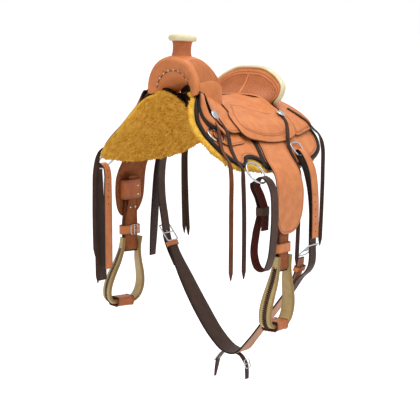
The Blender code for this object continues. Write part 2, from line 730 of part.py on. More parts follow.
def back_frame(u, y, height, side):
    """A place on the back: its point, and the directions out of it and down the slope."""
    here = on_back(u, y, height, side)
    out = (on_back(u, y, height + .01, side) - here).normalized()
    down = (on_back(u + .3, y, height, side) - on_back(u - .3, y, height, side)).normalized()
    return here, out, down


def face_along(obj, centre, out):
    """Stand a piece at centre with its local Z along out."""
    turn = Vector(out).to_track_quat("Z", "Y").to_matrix()
    obj.matrix_world = Matrix.LocRotScale(centre, turn, None)


def ring(name, centre, out, radius, thick):
    """A round metal ring whose plane is square to out."""
    bpy.ops.mesh.primitive_torus_add(major_radius=radius, minor_radius=thick, major_segments=24,
                                     minor_segments=6)
    obj = bpy.context.active_object
    for group in list(obj.users_collection):
        group.objects.unlink(obj)
    SADDLE.objects.link(obj)
    obj.name = name
    face_along(obj, centre, out)
    obj.data.materials.append(material(name, CHROME, 0.2, 1.0))
    return obj


def make_rigging():
    for word, side in SIDES:
        centre, out, _ = back_frame(11.3, -.184, .0262, side)
        ring(f"{word}_cinch_ring", centre, out, .042, .0035)
        upper = Vector((side * .262, CINCH_Y, -.036))
        lower = Vector((side * .296, CINCH_Y, -.074))
        down = (lower - upper).normalized()
        frame = axes_at((upper + lower) / 2, (0, 1, 0), -down)
        half = (lower - upper).length / 2
        outline = round_box(.028, half, .010, 3)
        wire(f"{word}_rear_dee", [frame @ Vector((x, y, 0)) for x, y in outline], .003, CHROME,
             cyclic=True)
    centre, out, _ = back_frame(6.6, -.236, .0245, 1)
    ring("near_breast_ring", centre, out, .030, .003)


def make_conchos():
    for word, side in SIDES:
        for end, (u, y, height) in CONCHOS.items():
            here, out, _ = back_frame(u, y, height, side)
            disc = turned(f"{word}_{end}_concho", [(.0165, 0), (.0165, .0015), (.010, .004)],
                          here, 0, CHROME, 0.25, 1.0)
            face_along(disc, here, out)


def stand_upright(points, side, turn):
    """Keys near the stirrup bolt, turned about the upright line through it."""
    pivot = Vector((LEATHER_X, BOLT_Y))
    out = []
    for p in points:
        d = Vector(p[:2]) - pivot
        c, s = cos(radians(turn)), sin(radians(turn))
        x, y = pivot.x + d.x * c - d.y * s, pivot.y + d.x * s + d.y * c
        out.append((side * x, y, *p[2:]))
    return out


def stirrup_point(p, q, x=0.0):
    """A point of the hanging stirrup: p along its bolt, q up from it, x across the band."""
    lean = radians(STIRRUP_LEAN)
    return (LEATHER_X + x, BOLT_Y + p + q * sin(lean), BOLT_Z + q * cos(lean))


def make_stirrup(word, side, turn):
    def place(points):
        return stand_upright(points, side, turn)
    bolt_line = Vector((-side * sin(radians(turn)), cos(radians(turn)), 0))
    across = Vector((side * cos(radians(turn)), sin(radians(turn)), 0))
    shape = STIRRUP_SHAPE + [(-p, q, w) for p, q, w in reversed(STIRRUP_SHAPE[:-1])]
    keys = [(*stirrup_point(p, q), w) for p, q, w in shape]
    band = strap(f"{word}_stirrup", place(keys), across, .011, STIRRUP_HIDE, steps=2)
    ends = place([stirrup_point(p, 0) for p in (-.0425, .0425)])
    bolt = strap(f"{word}_stirrup_bolt", [(*e, .0105) for e in ends], (0, 0, 1), .0105, CHROME,
                 steps=1, sides=8)
    cut(band, as_cutter(bolt), "UNION")
    low = STIRRUP_SHAPE[-1][1]
    loop = [stirrup_point(0, low + dz, dx) for dx, dz in round_box(.0290, .0098, .004, 2)]
    strap(f"{word}_tread", [(*p, .058) for p in place(loop)], bolt_line, .0026, LEATHER, steps=1,
          closed=True)


def make_leathers(word, side, turn):
    """The fender with the stirrup leather, its sleeve and the hobble strap with its buckle."""
    def place(points, angle=turn):
        return stand_upright(points, side, angle)
    columns = (-.098, -.05, 0, .05, .088)
    sides = []
    for lift, half in ((FENDER_LOW, -1), (FENDER_LOW + FENDER_THICK, 1)):
        rows = [[on_back(u, y, lift, side) for y in columns] for u in (6.15, 7, 8, 9)]
        for i, (x, z) in enumerate(FLAP):
            slope = Vector((FLAP[min(i + 1, 3)][0] - FLAP[max(i - 1, 0)][0],
                            FLAP[min(i + 1, 3)][1] - FLAP[max(i - 1, 0)][1])).normalized()
            move = half * FENDER_THICK / 2
            narrow = 1 - .035 * i
            rows.append([(side * (x - slope.y * move), y * narrow - .004 * i, z + slope.x * move)
                         for y in columns])
        sides.append(rows)
    slab(f"{word}_fender_top", *sides, LEATHER)
    frame = axes_at((side * FENDER_X, 0, 0), (0, 1, 0), (0, 0, 1))
    plate(f"{word}_fender", [FENDER_OUTLINE], FENDER_THICK, frame, LEATHER)
    gap = .0045
    x_in, x_out = LEATHER_X - gap, LEATHER_X + gap
    legs = [(x_in, -.030, -.175, 0), (x_in, -.038, -.29, 0), (x_in, BOLT_Y, -.352, 1),
            (x_in, BOLT_Y, -.42, 1)]
    bend = [(LEATHER_X - .0085 * cos(a), BOLT_Y, BOLT_Z - .0085 * sin(a), 1)
            for a in [pi * i / 4 for i in range(5)]]
    back = [(x_out, BOLT_Y, -.42, 1), (x_out, BOLT_Y, -.352, 1), (x_out, -.038, -.29, 0),
            (x_out, -.034, -.240, 0)]
    keys, across = [], []
    for x, y, z, twisted in legs + bend + back:
        angle = turn * twisted
        keys.append((*place([(x, y, z)], angle)[0], LEATHER_WIDE))
        across.append((-side * sin(radians(angle)), cos(radians(angle)), 0))
    strap(f"{word}_stirrup_leather", keys, across, .004, LEATHER, steps=1)
    for piece, half_x, half_y, y, z, height, angle, colour in (
            ("sleeve", .0105, .044, -.036, -.226, .072, 0, LEATHER_SHADE),
            ("hobble_strap", .0100, .0375, BOLT_Y, -.374, .044, turn, LEATHER)):
        loop = [(LEATHER_X + dx, y + dy, z) for dx, dy in round_box(half_x, half_y, .004, 2)]
        strap(f"{word}_{piece}", [(*p, height) for p in place(loop, angle)], (0, 0, 1), .0028,
              colour, steps=1, closed=True)
    x = LEATHER_X - .0100 - .0014 - GAP - .00125
    middle = Vector(place([(x, BOLT_Y + .010, -.374)])[0])
    right = Vector((-side * sin(radians(turn)), cos(radians(turn)), 0))
    buckle(f"{word}_hobble_buckle", middle, right, (0, 0, 1), .0155, .0175, .0025)


def as_cutter(obj):
    """Keep a piece only as the tool of a Boolean."""
    for group in list(obj.users_collection):
        group.objects.unlink(obj)
    CUTTERS.objects.link(obj)
    obj.hide_render = True
    obj.display_type = "WIRE"
    return obj


def buckle(name, middle, right, up, half_x, half_y, thick):
    """A flat buckle frame with its centre bar."""
    outer = round_box(half_x, half_y, .005, 3)
    bar, rim = .0018, .0038
    window_x = (half_x - rim - bar) / 2
    windows = []
    for sign in (-1, 1):
        middle_x = sign * (bar + window_x)
        windows.append([(middle_x + x, y) for x, y in round_box(window_x, half_y - rim, .0015, 2)])
    return plate(name, [outer] + windows, thick, axes_at(middle, right, up), CHROME, 1.0, 0.25)


def in_plane(keys, side=1):
    """Keys of a strap that hangs in the flank cinch's upright plane."""
    return [(side * x, CINCH_Y, z, w) for x, z, w in keys]


def make_hanging_straps():
    across = (0, 1, 0)
    strap("near_rear_billet", in_plane(NEAR_REAR_BILLET), across, .004, LEATHER)
    strap("off_rear_billet", in_plane(OFF_REAR_BILLET, -1), across, .004, LATIGO)
    strap("flank_cinch", in_plane(FLANK_CINCH), across, .006, LATIGO)
    buckle("near_flank_buckle", (.3240, CINCH_Y, -.410), (.76, 0, .65), across, .036, .030, .003)
    buckle("off_flank_buckle", (-.2920, CINCH_Y, -.406), (-.62, 0, .78), across, .036, .030, .003)
    strap("connector_strap", in_plane(CONNECTOR), across, .004, LATIGO)
    buckle("connector_buckle", (.0690, CINCH_Y, -.858), (.25, 0, -.97), across, .0165, .0165,
           .0025)
    centre = strap("centre_strap", in_plane(CENTRE_STRAP), across, .004, LATIGO)
    frame = buckle("centre_buckle", (-.0560, CINCH_Y, -.8465), (-.62, 0, -.78), across, .020,
                   .0200, .0025)
    cut(centre, as_cutter(frame), "UNION")
    strap("off_billet", [(-x, y, z, w) for x, y, z, w in OFF_BILLET], across, .004, LATIGO)
    latigo = strap("latigo", LATIGO_RUN, across, .0035, LATIGO)
    x, y, z = KEEPER
    loop = [(x + dx, y + dy, z) for dx, dy in round_box(.0125, .0215, .004, 2)]
    keeper = strap("latigo_keeper", [(*p, .028) for p in loop], (0, 0, 1), .0025, LATIGO, steps=1,
                   closed=True)
    cut(latigo, as_cutter(keeper), "UNION")


def make_strings():
    for name, (side, first, over, second) in STRINGS.items():
        keys = [Vector((side * x, y, z)) for x, y, z in first]
        outs = [Vector((side, 0, 0))] * len(first)
        for u, y, height in over:
            here, out, _ = back_frame(u, y, height, side)
            keys.append(here)
            outs.append(out)
        keys += [Vector((side * x, y, z)) for x, y, z in second]
        outs += [Vector((side, 0, 0))] * len(second)
        last = len(keys) - 1
        across = [out.cross(keys[min(i + 1, last)] - keys[max(i - 1, 0)]).normalized()
                  for i, out in enumerate(outs)]
        strap(name, [(*k, LACE_WIDTH) for k in keys], across, LACE_THICK, LACE, steps=2)


def hinge(name, place, pieces, parent=None):
    """An empty on a joint's axis that carries the pieces moving with it."""
    empty = bpy.data.objects.new(name, None)
    empty.empty_display_size = 0.02
    empty.location = place
    SADDLE.objects.link(empty)
    bpy.context.view_layer.update()
    carried = [SADDLE.objects[piece] for piece in pieces]
    if parent:
        empty.parent = parent
        empty.matrix_parent_inverse = parent.matrix_world.inverted()
    for obj in carried:
        obj.parent = empty
        obj.matrix_parent_inverse = empty.matrix_world.inverted()
    return empty


def make_hinges():
    for word, side in SIDES:
        leathers = [f"{word}_{part}" for part in
                    ("fender", "stirrup_leather", "sleeve", "hobble_strap", "hobble_buckle")]
        swing = hinge(f"{word}_leather_hinge", LEATHER_HINGE[word], leathers)
        hinge(f"{word}_bolt_hinge", (side * LEATHER_X, BOLT_Y, BOLT_Z),
              [f"{word}_stirrup", f"{word}_tread"], swing)
    flank = hinge("flank_hinge", FLANK_HINGE,
                  ["near_rear_billet", "off_rear_billet", "flank_cinch", "near_flank_buckle",
                   "off_flank_buckle", "centre_strap"])
    hinge("connector_hinge", CONNECTOR_HINGE, ["connector_strap", "connector_buckle"], flank)
    hinge("latigo_hinge", LATIGO_HINGE, ["latigo"])
    hinge("off_billet_hinge", OFF_BILLET_HINGE, ["off_billet"])


def main():
    make_tree()
    make_fork()
    make_seat()
    make_cantle()
    make_skirts()
    make_rigging()
    make_conchos()
    for word, side, turn in (("near", 1, 0), ("off", -1, OFF_TURN)):
        make_leathers(word, side, turn)
        make_stirrup(word, side, turn)
    make_hanging_straps()
    make_strings()
    make_hinges()


main()
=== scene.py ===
"""Wade saddle: leather, shearling, rawhide and metal dressed over its solid frame."""
import json
from math import cos, pi, radians, sin, tau

import bmesh
import bpy
import numpy as np
from mathutils import Matrix, Vector
from mathutils.geometry import delaunay_2d_cdt

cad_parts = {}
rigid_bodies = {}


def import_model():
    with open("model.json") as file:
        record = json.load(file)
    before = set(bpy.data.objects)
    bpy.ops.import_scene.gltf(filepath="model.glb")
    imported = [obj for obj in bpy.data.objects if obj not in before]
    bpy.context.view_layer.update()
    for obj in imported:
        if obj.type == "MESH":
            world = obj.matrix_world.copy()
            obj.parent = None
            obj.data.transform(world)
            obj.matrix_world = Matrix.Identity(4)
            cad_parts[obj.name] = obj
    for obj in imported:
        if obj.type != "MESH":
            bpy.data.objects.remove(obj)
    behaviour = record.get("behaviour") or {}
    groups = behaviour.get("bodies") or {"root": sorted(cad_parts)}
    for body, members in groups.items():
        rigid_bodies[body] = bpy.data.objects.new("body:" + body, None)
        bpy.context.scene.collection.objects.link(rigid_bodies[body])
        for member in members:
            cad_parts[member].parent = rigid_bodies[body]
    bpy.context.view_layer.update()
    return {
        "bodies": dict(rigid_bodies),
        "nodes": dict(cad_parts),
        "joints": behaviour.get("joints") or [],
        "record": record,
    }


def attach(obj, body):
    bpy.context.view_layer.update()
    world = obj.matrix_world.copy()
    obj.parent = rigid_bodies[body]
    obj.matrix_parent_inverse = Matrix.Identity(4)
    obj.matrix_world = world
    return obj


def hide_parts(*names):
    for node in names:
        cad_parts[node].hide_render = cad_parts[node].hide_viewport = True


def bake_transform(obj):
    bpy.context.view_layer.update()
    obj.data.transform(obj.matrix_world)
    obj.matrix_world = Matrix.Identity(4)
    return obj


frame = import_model()
SIDES = (("near", 1), ("off", -1))

# Sections across the horse's back from the middle outwards, at the withers and at the loin
WITHERS = [(0, .160), (.030, .157), (.060, .147), (.085, .126), (.107, .089), (.130, .050),
           (.160, .014), (.190, -.013), (.219, -.039), (.247, -.064), (.273, -.088), (.297, -.112),
           (.320, -.136)]
LOIN = [(0, .070), (.036, .066), (.071, .057), (.103, .046), (.133, .032), (.162, .015),
        (.189, -.005), (.214, -.027), (.237, -.051), (.258, -.077), (.276, -.104), (.292, -.132),
        (.306, -.161)]
WITHERS_Y, LOIN_Y = -0.24, -0.02
FLAT = 0.0335

# Heights of the layers above the back
FLEECE = 0.0143
SKIRT_TOP = 0.0205
BAR_TOP = 0.0383
SEAT_LOW = 0.0431
SEAT_RISE = 0.0045
SEAT_SWELL = 0.0105
SEAT_FLAP = 0.0272
SEAT_THICK = 0.0055
FENDER_LOW = 0.0212
FENDER_THICK = 0.0045
JOCKEY_THICK = 0.0042

TREE_BAR = [(1.2, -.10), (2.6, -.180), (3.2, -.212), (4.6, -.218), (5.6, -.203), (6.0, -.15),
            (6.1, -.06), (6.1, .10), (5.8, .22), (5.4, .27), (4.6, .29), (2, .292), (1.2, .25)]
FRONT_JOCKEY = [(2.9, -.190), (3.5, -.206), (4.4, -.2115), (5.4, -.206), (6.2, -.190),
                (6.65, -.166), (6.6, -.13), (6.5, -.1015), (2.9, -.1015)]
# A black sheet over the bars' front ends, painted shade in the gaps beside the tan strap, and the tan
# strap round it
BAR_SHADE_SHEET = [(2.3, -.190), (2.9, -.215), (3.5, -.233), (4.7, -.243), (5.8, -.232), (6.6, -.206),
              (6.6, -.165), (2.8, -.160)]
BAR_STRAP = [(3.0, -.2195), (3.5, -.2310), (4.6, -.2375), (5.9, -.2265), (7.1, -.203),
             (7.1, -.193), (5.9, -.211), (4.6, -.2215), (3.6, -.2160), (3.05, -.2050)]
REAR_JOCKEY = [(.05, .222), (2.6, .222), (3.6, .218), (4.4, .202), (5.2, .1935), (6.2, .187),
               (7.2, .182), (7.35, .20), (7.1, .25), (6.9, .288), (6.6, .305), (5.8, .313),
               (4, .310), (2, .304), (.05, .30)]
SEAT = [(0, -.105), (4, -.108), (4.6, -.125), (6, -.132), (6.8, -.125), (7.25, -.10),
        (7.5, -.05), (7.75, 0), (7.85, .05), (7.8, .10), (7.55, .15), (7.3, .172),
        (5.2, .185), (4.4, .188), (3.2, .176), (1.6, .166), (0, .163)]

CANTLE_BASE = [(0, .165, .1220), (.040, .167, .1215), (.070, .171, .1185), (.094, .176, .1120),
               (.106, .180, .1040), (.111, .183, .0950), (.112, .186, .0860)]
CANTLE_RIM = [(0, .247, .2105), (.055, .247, .2065), (.092, .243, .1915), (.122, .236, .172),
              (.1430, .227, .1467), (.1375, .2165, .1145), (.116, .207, .089)]


def camera_and_light():
    """The photograph's view, soft white light and a white backdrop."""
    camera = bpy.data.objects.new("camera", bpy.data.cameras.new("camera"))
    bpy.context.scene.collection.objects.link(camera)
    camera.location = (3.02291, -4.16068, 0.48861)
    aim = Vector((0, 0, -0.28)) - camera.location
    camera.rotation_euler = aim.to_track_quat("-Z", "Y").to_euler()
    camera.data.lens = 125.55
    bpy.context.scene.camera = camera
    bpy.context.scene.view_settings.view_transform = "Standard"
    for name, place, size, power in (("key_light", (0.6, -3.4, 2.6), 2.2, 28),
                                     ("near_light", (3.6, -0.6, 2.4), 2.0, 36),
                                     ("top_light", (0.5, 0.2, 3.2), 2.2, 57)):
        lamp = bpy.data.lights.new(name, "AREA")
        lamp.energy, lamp.size = power, size
        lamp_object = bpy.data.objects.new(name, lamp)
        bpy.context.scene.collection.objects.link(lamp_object)
        lamp_object.location = place
        turn = (Vector((0, 0, -0.2)) - lamp_object.location).to_track_quat("-Z", "Y")
        lamp_object.rotation_euler = turn.to_euler()
    world = bpy.data.worlds.new("studio")
    bpy.context.scene.world = world
    world.use_nodes = True
    tree = world.node_tree
    back = tree.nodes["Background"]
    path = add_node(tree, "ShaderNodeLightPath")
    seen = path.outputs["Is Camera Ray"]
    for ray in ("Is Glossy Ray", "Is Transmission Ray"):
        seen = add_node(tree, "ShaderNodeMath", {0: seen, 1: path.outputs[ray]},
                        operation="MAXIMUM").outputs[0]
    level = add_node(tree, "ShaderNodeMapRange", {"Value": seen, "To Min": 0.45,
                                                  "To Max": 1.0})
    back.inputs["Color"].default_value = (1, 1, 1, 1)
    tree.links.new(level.outputs[0], back.inputs["Strength"])


def add_node(tree, kind, inputs=None, **settings):
    """Add a node, set it up and fill or link its inputs."""
    node = tree.nodes.new(kind)
    for key, value in settings.items():
        setattr(node, key, value)
    for key, value in (inputs or {}).items():
        if isinstance(value, bpy.types.NodeSocket):
            tree.links.new(value, node.inputs[key])
        else:
            node.inputs[key].default_value = value
    return node


def linear(code):
    """An sRGB hex colour as linear red, green, blue and full alpha."""
    parts = [int(code[i:i + 2], 16) / 255 for i in (1, 3, 5)]
    return (*[p / 12.92 if p <= 0.04045 else ((p + 0.055) / 1.055) ** 2.4 for p in parts], 1)


def new_material(name, **sockets):
    mat = bpy.data.materials.new(name)
    mat.use_nodes = True
    shader = mat.node_tree.nodes["Principled BSDF"]
    for key, value in sockets.items():
        shader.inputs[key.replace("_", " ")].default_value = value
    return mat, mat.node_tree, shader


def hide(name, colour, dark, edge, groove=None, grain=0.9, rough=0.5, bump=0.12, coat=0.0,
         mottle=0.5, shine=0.3):
    """Leather or rawhide. Its sheet darkens at cut edges and in grooves, by the mesh's own
    attributes. grain is the pebble size in millimetres."""
    mat, tree, shader = new_material(name, Coat_Weight=coat, Coat_Roughness=0.25,
                                     Specular_IOR_Level=shine)
    place = add_node(tree, "ShaderNodeTexCoord").outputs["Object"]
    cloud = add_node(tree, "ShaderNodeTexNoise", {"Vector": place, "Scale": 28, "Detail": 5,
                                                  "Roughness": 0.6})
    tint = add_node(tree, "ShaderNodeMapRange", {"Value": cloud.outputs["Fac"], "From Min": 0.36,
                                                 "From Max": 0.66, "To Max": mottle})
    base = add_node(tree, "ShaderNodeMix", {0: tint.outputs[0]}, data_type="RGBA")
    # Sockets 6 and 7 of a colour Mix are its two colours
    pebble = add_node(tree, "ShaderNodeTexVoronoi", {"Vector": place, "Scale": 1000 / grain},
                      feature="SMOOTH_F1")
    fine = add_node(tree, "ShaderNodeTexNoise", {"Vector": place, "Scale": 420, "Detail": 3})
    wear = add_node(tree, "ShaderNodeAttribute", attribute_name="edge").outputs["Fac"]
    cut = add_node(tree, "ShaderNodeAttribute", attribute_name="groove").outputs["Fac"]
    grooved = add_node(tree, "ShaderNodeMix", {0: cut}, data_type="RGBA")
    edged = add_node(tree, "ShaderNodeMix", {0: wear}, data_type="RGBA")
    for node, value, key in ((base, linear(colour), 6), (base, linear(dark), 7),
                             (grooved, linear(groove or dark), 7), (edged, linear(edge), 7)):
        node.inputs[key].default_value = value
    tree.links.new(base.outputs[2], grooved.inputs[6])
    tree.links.new(grooved.outputs[2], edged.inputs[6])
    tree.links.new(edged.outputs[2], shader.inputs["Base Color"])
    height = add_node(tree, "ShaderNodeMath", {0: pebble.outputs["Distance"],
                                               1: fine.outputs["Fac"]}, operation="ADD")
    dent = add_node(tree, "ShaderNodeBump", {"Height": height.outputs[0], "Strength": bump,
                                             "Distance": 0.0012})
    tree.links.new(dent.outputs[0], shader.inputs["Normal"])
    gloss = add_node(tree, "ShaderNodeMapRange", {"Value": cloud.outputs["Fac"],
                                                  "To Min": rough - 0.1, "To Max": rough + 0.1})
    tree.links.new(gloss.outputs[0], shader.inputs["Roughness"])
    return mat


# Curves and flat outlines, as arrays

def curve_through(points, step, closed=False, dims=3):
    """Smooth places through the points, about a step apart; extra columns follow along."""
    p = np.array(points, float)
    n = len(p)
    follow = np.roll(p, -1, 0) if closed else p[1:]
    chord = np.linalg.norm((follow - p[:len(follow)])[:, :dims], axis=1)
    knot = np.sqrt(np.maximum(chord, 1e-9))
    slope = (follow - p[:len(follow)]) / knot[:, None]
    if closed:
        before, gap = np.roll(slope, 1, 0), np.roll(knot, 1)
        tangent = (slope * gap[:, None] + before * knot[:, None]) / (gap + knot)[:, None]
    else:
        tangent = np.zeros_like(p)
        tangent[0], tangent[-1] = slope[0], slope[-1]
        a, b = knot[:-1, None], knot[1:, None]
        tangent[1:-1] = (slope[1:] * a + slope[:-1] * b) / (a + b)
    rows = []
    for i in range(len(follow)):
        j = (i + 1) % n
        count = max(1, int(np.ceil(chord[i] / step)))
        t = (np.arange(count) / count)[:, None]
        rows.append((2 * t**3 - 3 * t**2 + 1) * p[i] + (t**3 - 2 * t**2 + t) * knot[i] * tangent[i]
                    + (3 * t**2 - 2 * t**3) * p[j] + (t**3 - t**2) * knot[i] * tangent[j])
    if not closed:
        rows.append(p[-1:])
    return np.concatenate(rows)


def lengths_along(path):
    """How far along a path each of its places is."""
    return np.concatenate([[0], np.cumsum(np.linalg.norm(np.diff(path, axis=0), axis=1))])


def directions(path, closed=False):
    """The way that a path runs at each of its places."""
    run = np.roll(path, -1, 0) - np.roll(path, 1, 0) if closed else np.gradient(path, axis=0)
    return run / np.linalg.norm(run, axis=1)[:, None]


def distance(points, line, closed):
    """How far each flat point is from a line."""
    a = line if closed else line[:-1]
    b = np.roll(line, -1, 0) if closed else line[1:]
    out = np.empty(len(points))
    run = b - a
    size = np.maximum((run**2).sum(1), 1e-12)
    for first in range(0, len(points), 3000):
        p = points[first:first + 3000, None]
        t = np.clip(((p - a) * run).sum(2) / size, 0, 1)
        out[first:first + 3000] = np.sqrt((((a + t[..., None] * run) - p)**2).sum(2)).min(1)
    return out


def inside(points, loop):
    """Which flat points are inside a closed loop."""
    x, y = points[:, 0], points[:, 1]
    hit = np.zeros(len(points), bool)
    for (x1, y1), (x2, y2) in zip(loop, np.roll(loop, -1, 0)):
        if y1 != y2:
            hit ^= ((y1 > y) != (y2 > y)) & (x < (x2 - x1) * (y - y1) / (y2 - y1) + x1)
    return hit


def beside(line, shift, closed):
    """A line moved sideways, to its left by shift."""
    if closed:
        run = np.roll(line, -1, 0) - np.roll(line, 1, 0)
    else:
        run = np.gradient(line, axis=0)
    run /= np.maximum(np.linalg.norm(run, axis=1), 1e-9)[:, None]
    moved = line + np.stack([-run[:, 1], run[:, 0]], 1) * shift
    return moved[distance(moved, line, closed) > abs(shift) * 0.97]


def smooth_step(t):
    t = np.clip(t, 0, 1)
    return t * t * (3 - 2 * t)


def back_table(section):
    """Finely sampled places and square directions along a section, either side of the middle."""
    half = np.array(section)
    beyond = 2 * half[-1] - half[-2]
    p = np.vstack([half, beyond])
    p = np.vstack([p[:0:-1] * (-1, 1), p])
    fine = np.linspace(-13, 13, 1041)
    k = np.clip(np.floor(fine).astype(int), -12, 11)
    t = (fine - k)[:, None]
    a, b, c, d = (p[np.clip(k + o + 13, 0, 26)] for o in (-1, 0, 1, 2))
    place = 0.5 * (2 * b + (c - a) * t + (2 * a - 5 * b + 4 * c - d) * t**2
                   + (3 * b - a - 3 * c + d) * t**3)
    run = np.gradient(place, axis=0)
    run /= np.linalg.norm(run, axis=1)[:, None]
    return fine, np.column_stack([place, -run[:, 1], run[:, 0]])


WITHERS_TABLE, LOIN_TABLE = back_table(WITHERS), back_table(LOIN)


def on_back(u, y, lift, side=1):
    """Places over the back, u in section points outwards, lifted square to the section."""
    u, y, lift = np.broadcast_arrays(np.asarray(u, float), y, lift)
    t = smooth_step((y - WITHERS_Y) / (LOIN_Y - WITHERS_Y))
    out = []
    for fine, columns in (WITHERS_TABLE, LOIN_TABLE):
        x, z, nx, nz = (np.interp(u, fine, columns[:, k]) for k in range(4))
        out.append((x + nx * lift, z + nz * lift))
    x = out[0][0] + (out[1][0] - out[0][0]) * t
    z = out[0][1] + (out[1][1] - out[0][1]) * t
    return np.stack([side * x, y, z], -1)


def over_back(side):
    return lambda s, t, lift: on_back(s / FLAT, t, lift, side)


# Meshes

def hung(name, mesh, body, nodes):
    """The mesh as an object on its body and the CAD nodes that it stands for."""
    obj = bpy.data.objects.new(name, mesh)
    bpy.context.scene.collection.objects.link(obj)
    if body:
        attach(obj, body)
    if nodes:
        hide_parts(*nodes)
    return obj


def finish_piece(name, verts, faces, mats, body, nodes=(), marks=None, flat=None,
                 kinds=None):
    """Make a piece of plain mesh, at the origin, with its finish, its body and its CAD nodes."""
    mesh = bpy.data.meshes.new(name)
    mesh.from_pydata([tuple(v) for v in verts], [], [tuple(f) for f in faces])
    for mat in mats:
        mesh.materials.append(mat)
    if kinds is not None:
        mesh.polygons.foreach_set("material_index", np.asarray(kinds, np.int32))
    for key, values in (marks or {}).items():
        mesh.attributes.new(key, "FLOAT", "POINT").data.foreach_set("value", np.asarray(values))
    if flat is not None:
        layer = mesh.uv_layers.new(name="flat")
        index = np.empty(len(mesh.loops), np.int32)
        mesh.loops.foreach_get("vertex_index", index)
        layer.data.foreach_set("uv", np.asarray(flat, float)[index].ravel())
    bm = bmesh.new()
    bm.from_mesh(mesh)
    bmesh.ops.recalc_face_normals(bm, faces=bm.faces)
    bm.to_mesh(mesh)
    bm.free()
    mesh.shade_smooth()
    return hung(name, mesh, body, nodes)


def cut_sheet(name, outline, place, low, high, mats, body, nodes=(), cell=0.008,
              borders=(), lines=(), rim=0.0010, wobble=None):
    """Leather cut to a flat outline and laid by place(s, t, lift) between its two lifts.

    borders are grooves at a distance inside the edge and lines are grooves along points, each
    as (what, width, depth)."""
    edge = curve_through(outline, 0.004, closed=True, dims=2)
    x, y = edge[:, 0], edge[:, 1]
    if (x * np.roll(y, -1) - y * np.roll(x, -1)).sum() < 0:
        edge = edge[::-1]
    rows = [edge, beside(edge, rim * 0.8, True), beside(edge, rim * 2.2, True)]
    grooves = []
    for inset, width, depth in borders:
        grooves.append((beside(edge, inset, True), width, depth, True))
    for points, width, depth in lines:
        grooves.append((curve_through(points, 0.004, dims=2), width, depth, False))
    for line, width, depth, closed in grooves:
        rows += [line] + [beside(line, side * width * 0.7, closed) for side in (-1, 1)]
    low_corner, high_corner = edge.min(0), edge.max(0)
    xs = np.arange(low_corner[0], high_corner[0], cell)
    ys = np.arange(low_corner[1], high_corner[1], cell * 0.866)
    rows.append(np.array([(a + cell / 2 * (j % 2), b) for j, b in enumerate(ys) for a in xs]))
    rows = [rows[0]] + [r[inside(r, edge)] for r in rows[1:] if len(r)]
    cloud = np.concatenate(rows)
    far = distance(cloud, edge, True)
    keep = np.ones(len(cloud), bool)
    start = sum(len(r) for r in rows[:3])
    keep[start:] = far[start:] > rim * 2.2 + 0.0006
    first_free = sum(len(r) for r in rows[:-1])
    for line, width, depth, closed in grooves:
        keep[first_free:] &= distance(cloud[first_free:], line, closed) > width * 0.9
    cloud = cloud[keep]
    n = len(edge)
    found = delaunay_2d_cdt([Vector(p) for p in cloud], [(i, (i + 1) % n) for i in range(n)],
                            [list(range(n))], 0, 1e-6)
    flat = np.array([tuple(v) for v in found[0]])
    tris = [f for f, origin in zip(found[2], found[5]) if origin]
    far = distance(flat, edge, True)
    round_off = rim * (1 - np.sqrt(1 - np.clip(1 - far / (rim * 1.8), 0, 1)**2))
    relief = -round_off
    groove = np.zeros(len(flat))
    for line, width, depth, closed in grooves:
        shape = np.exp(-(distance(flat, line, closed) / (width * 0.5))**2)
        relief = relief - depth * shape
        groove = np.maximum(groove, shape)
    s, t = flat[:, 0], flat[:, 1]
    lows = low(s, t) if callable(low) else np.full(len(flat), low)
    highs = high(s, t) if callable(high) else np.full(len(flat), high)
    if wobble:
        extra = wobble(s, t)
        lows, highs = lows + extra, highs + extra
    top = place(s, t, highs + relief)
    bottom = place(s, t, lows + round_off * 0.6)
    verts = np.concatenate([top, bottom])
    shift = len(flat)
    border = {}
    for f in tris:
        for a, b in zip(f, f[1:] + f[:1]):
            if (b, a) in border:
                del border[(b, a)]
            else:
                border[(a, b)] = True
    faces = tris + [[i + shift for i in reversed(f)] for f in tris]
    kinds = [0] * len(tris) + [len(mats) - 1] * len(tris) + [0] * len(border)
    faces += [(b, a, a + shift, b + shift) for a, b in border]
    marks = {"edge": np.tile(np.clip(1 - far / (rim * 1.5), 0, 1), 2),
             "groove": np.concatenate([groove, np.zeros(shift)])}
    used = np.unique(np.array([i for f in faces for i in f]))
    back = np.full(len(verts), -1)
    back[used] = np.arange(len(used))
    faces = [[int(back[i]) for i in f] for f in faces]
    marks = {key: values[used] for key, values in marks.items()}
    return finish_piece(name, verts[used], faces, mats, body, nodes, marks,
                        np.tile(flat, (2, 1))[used], kinds)


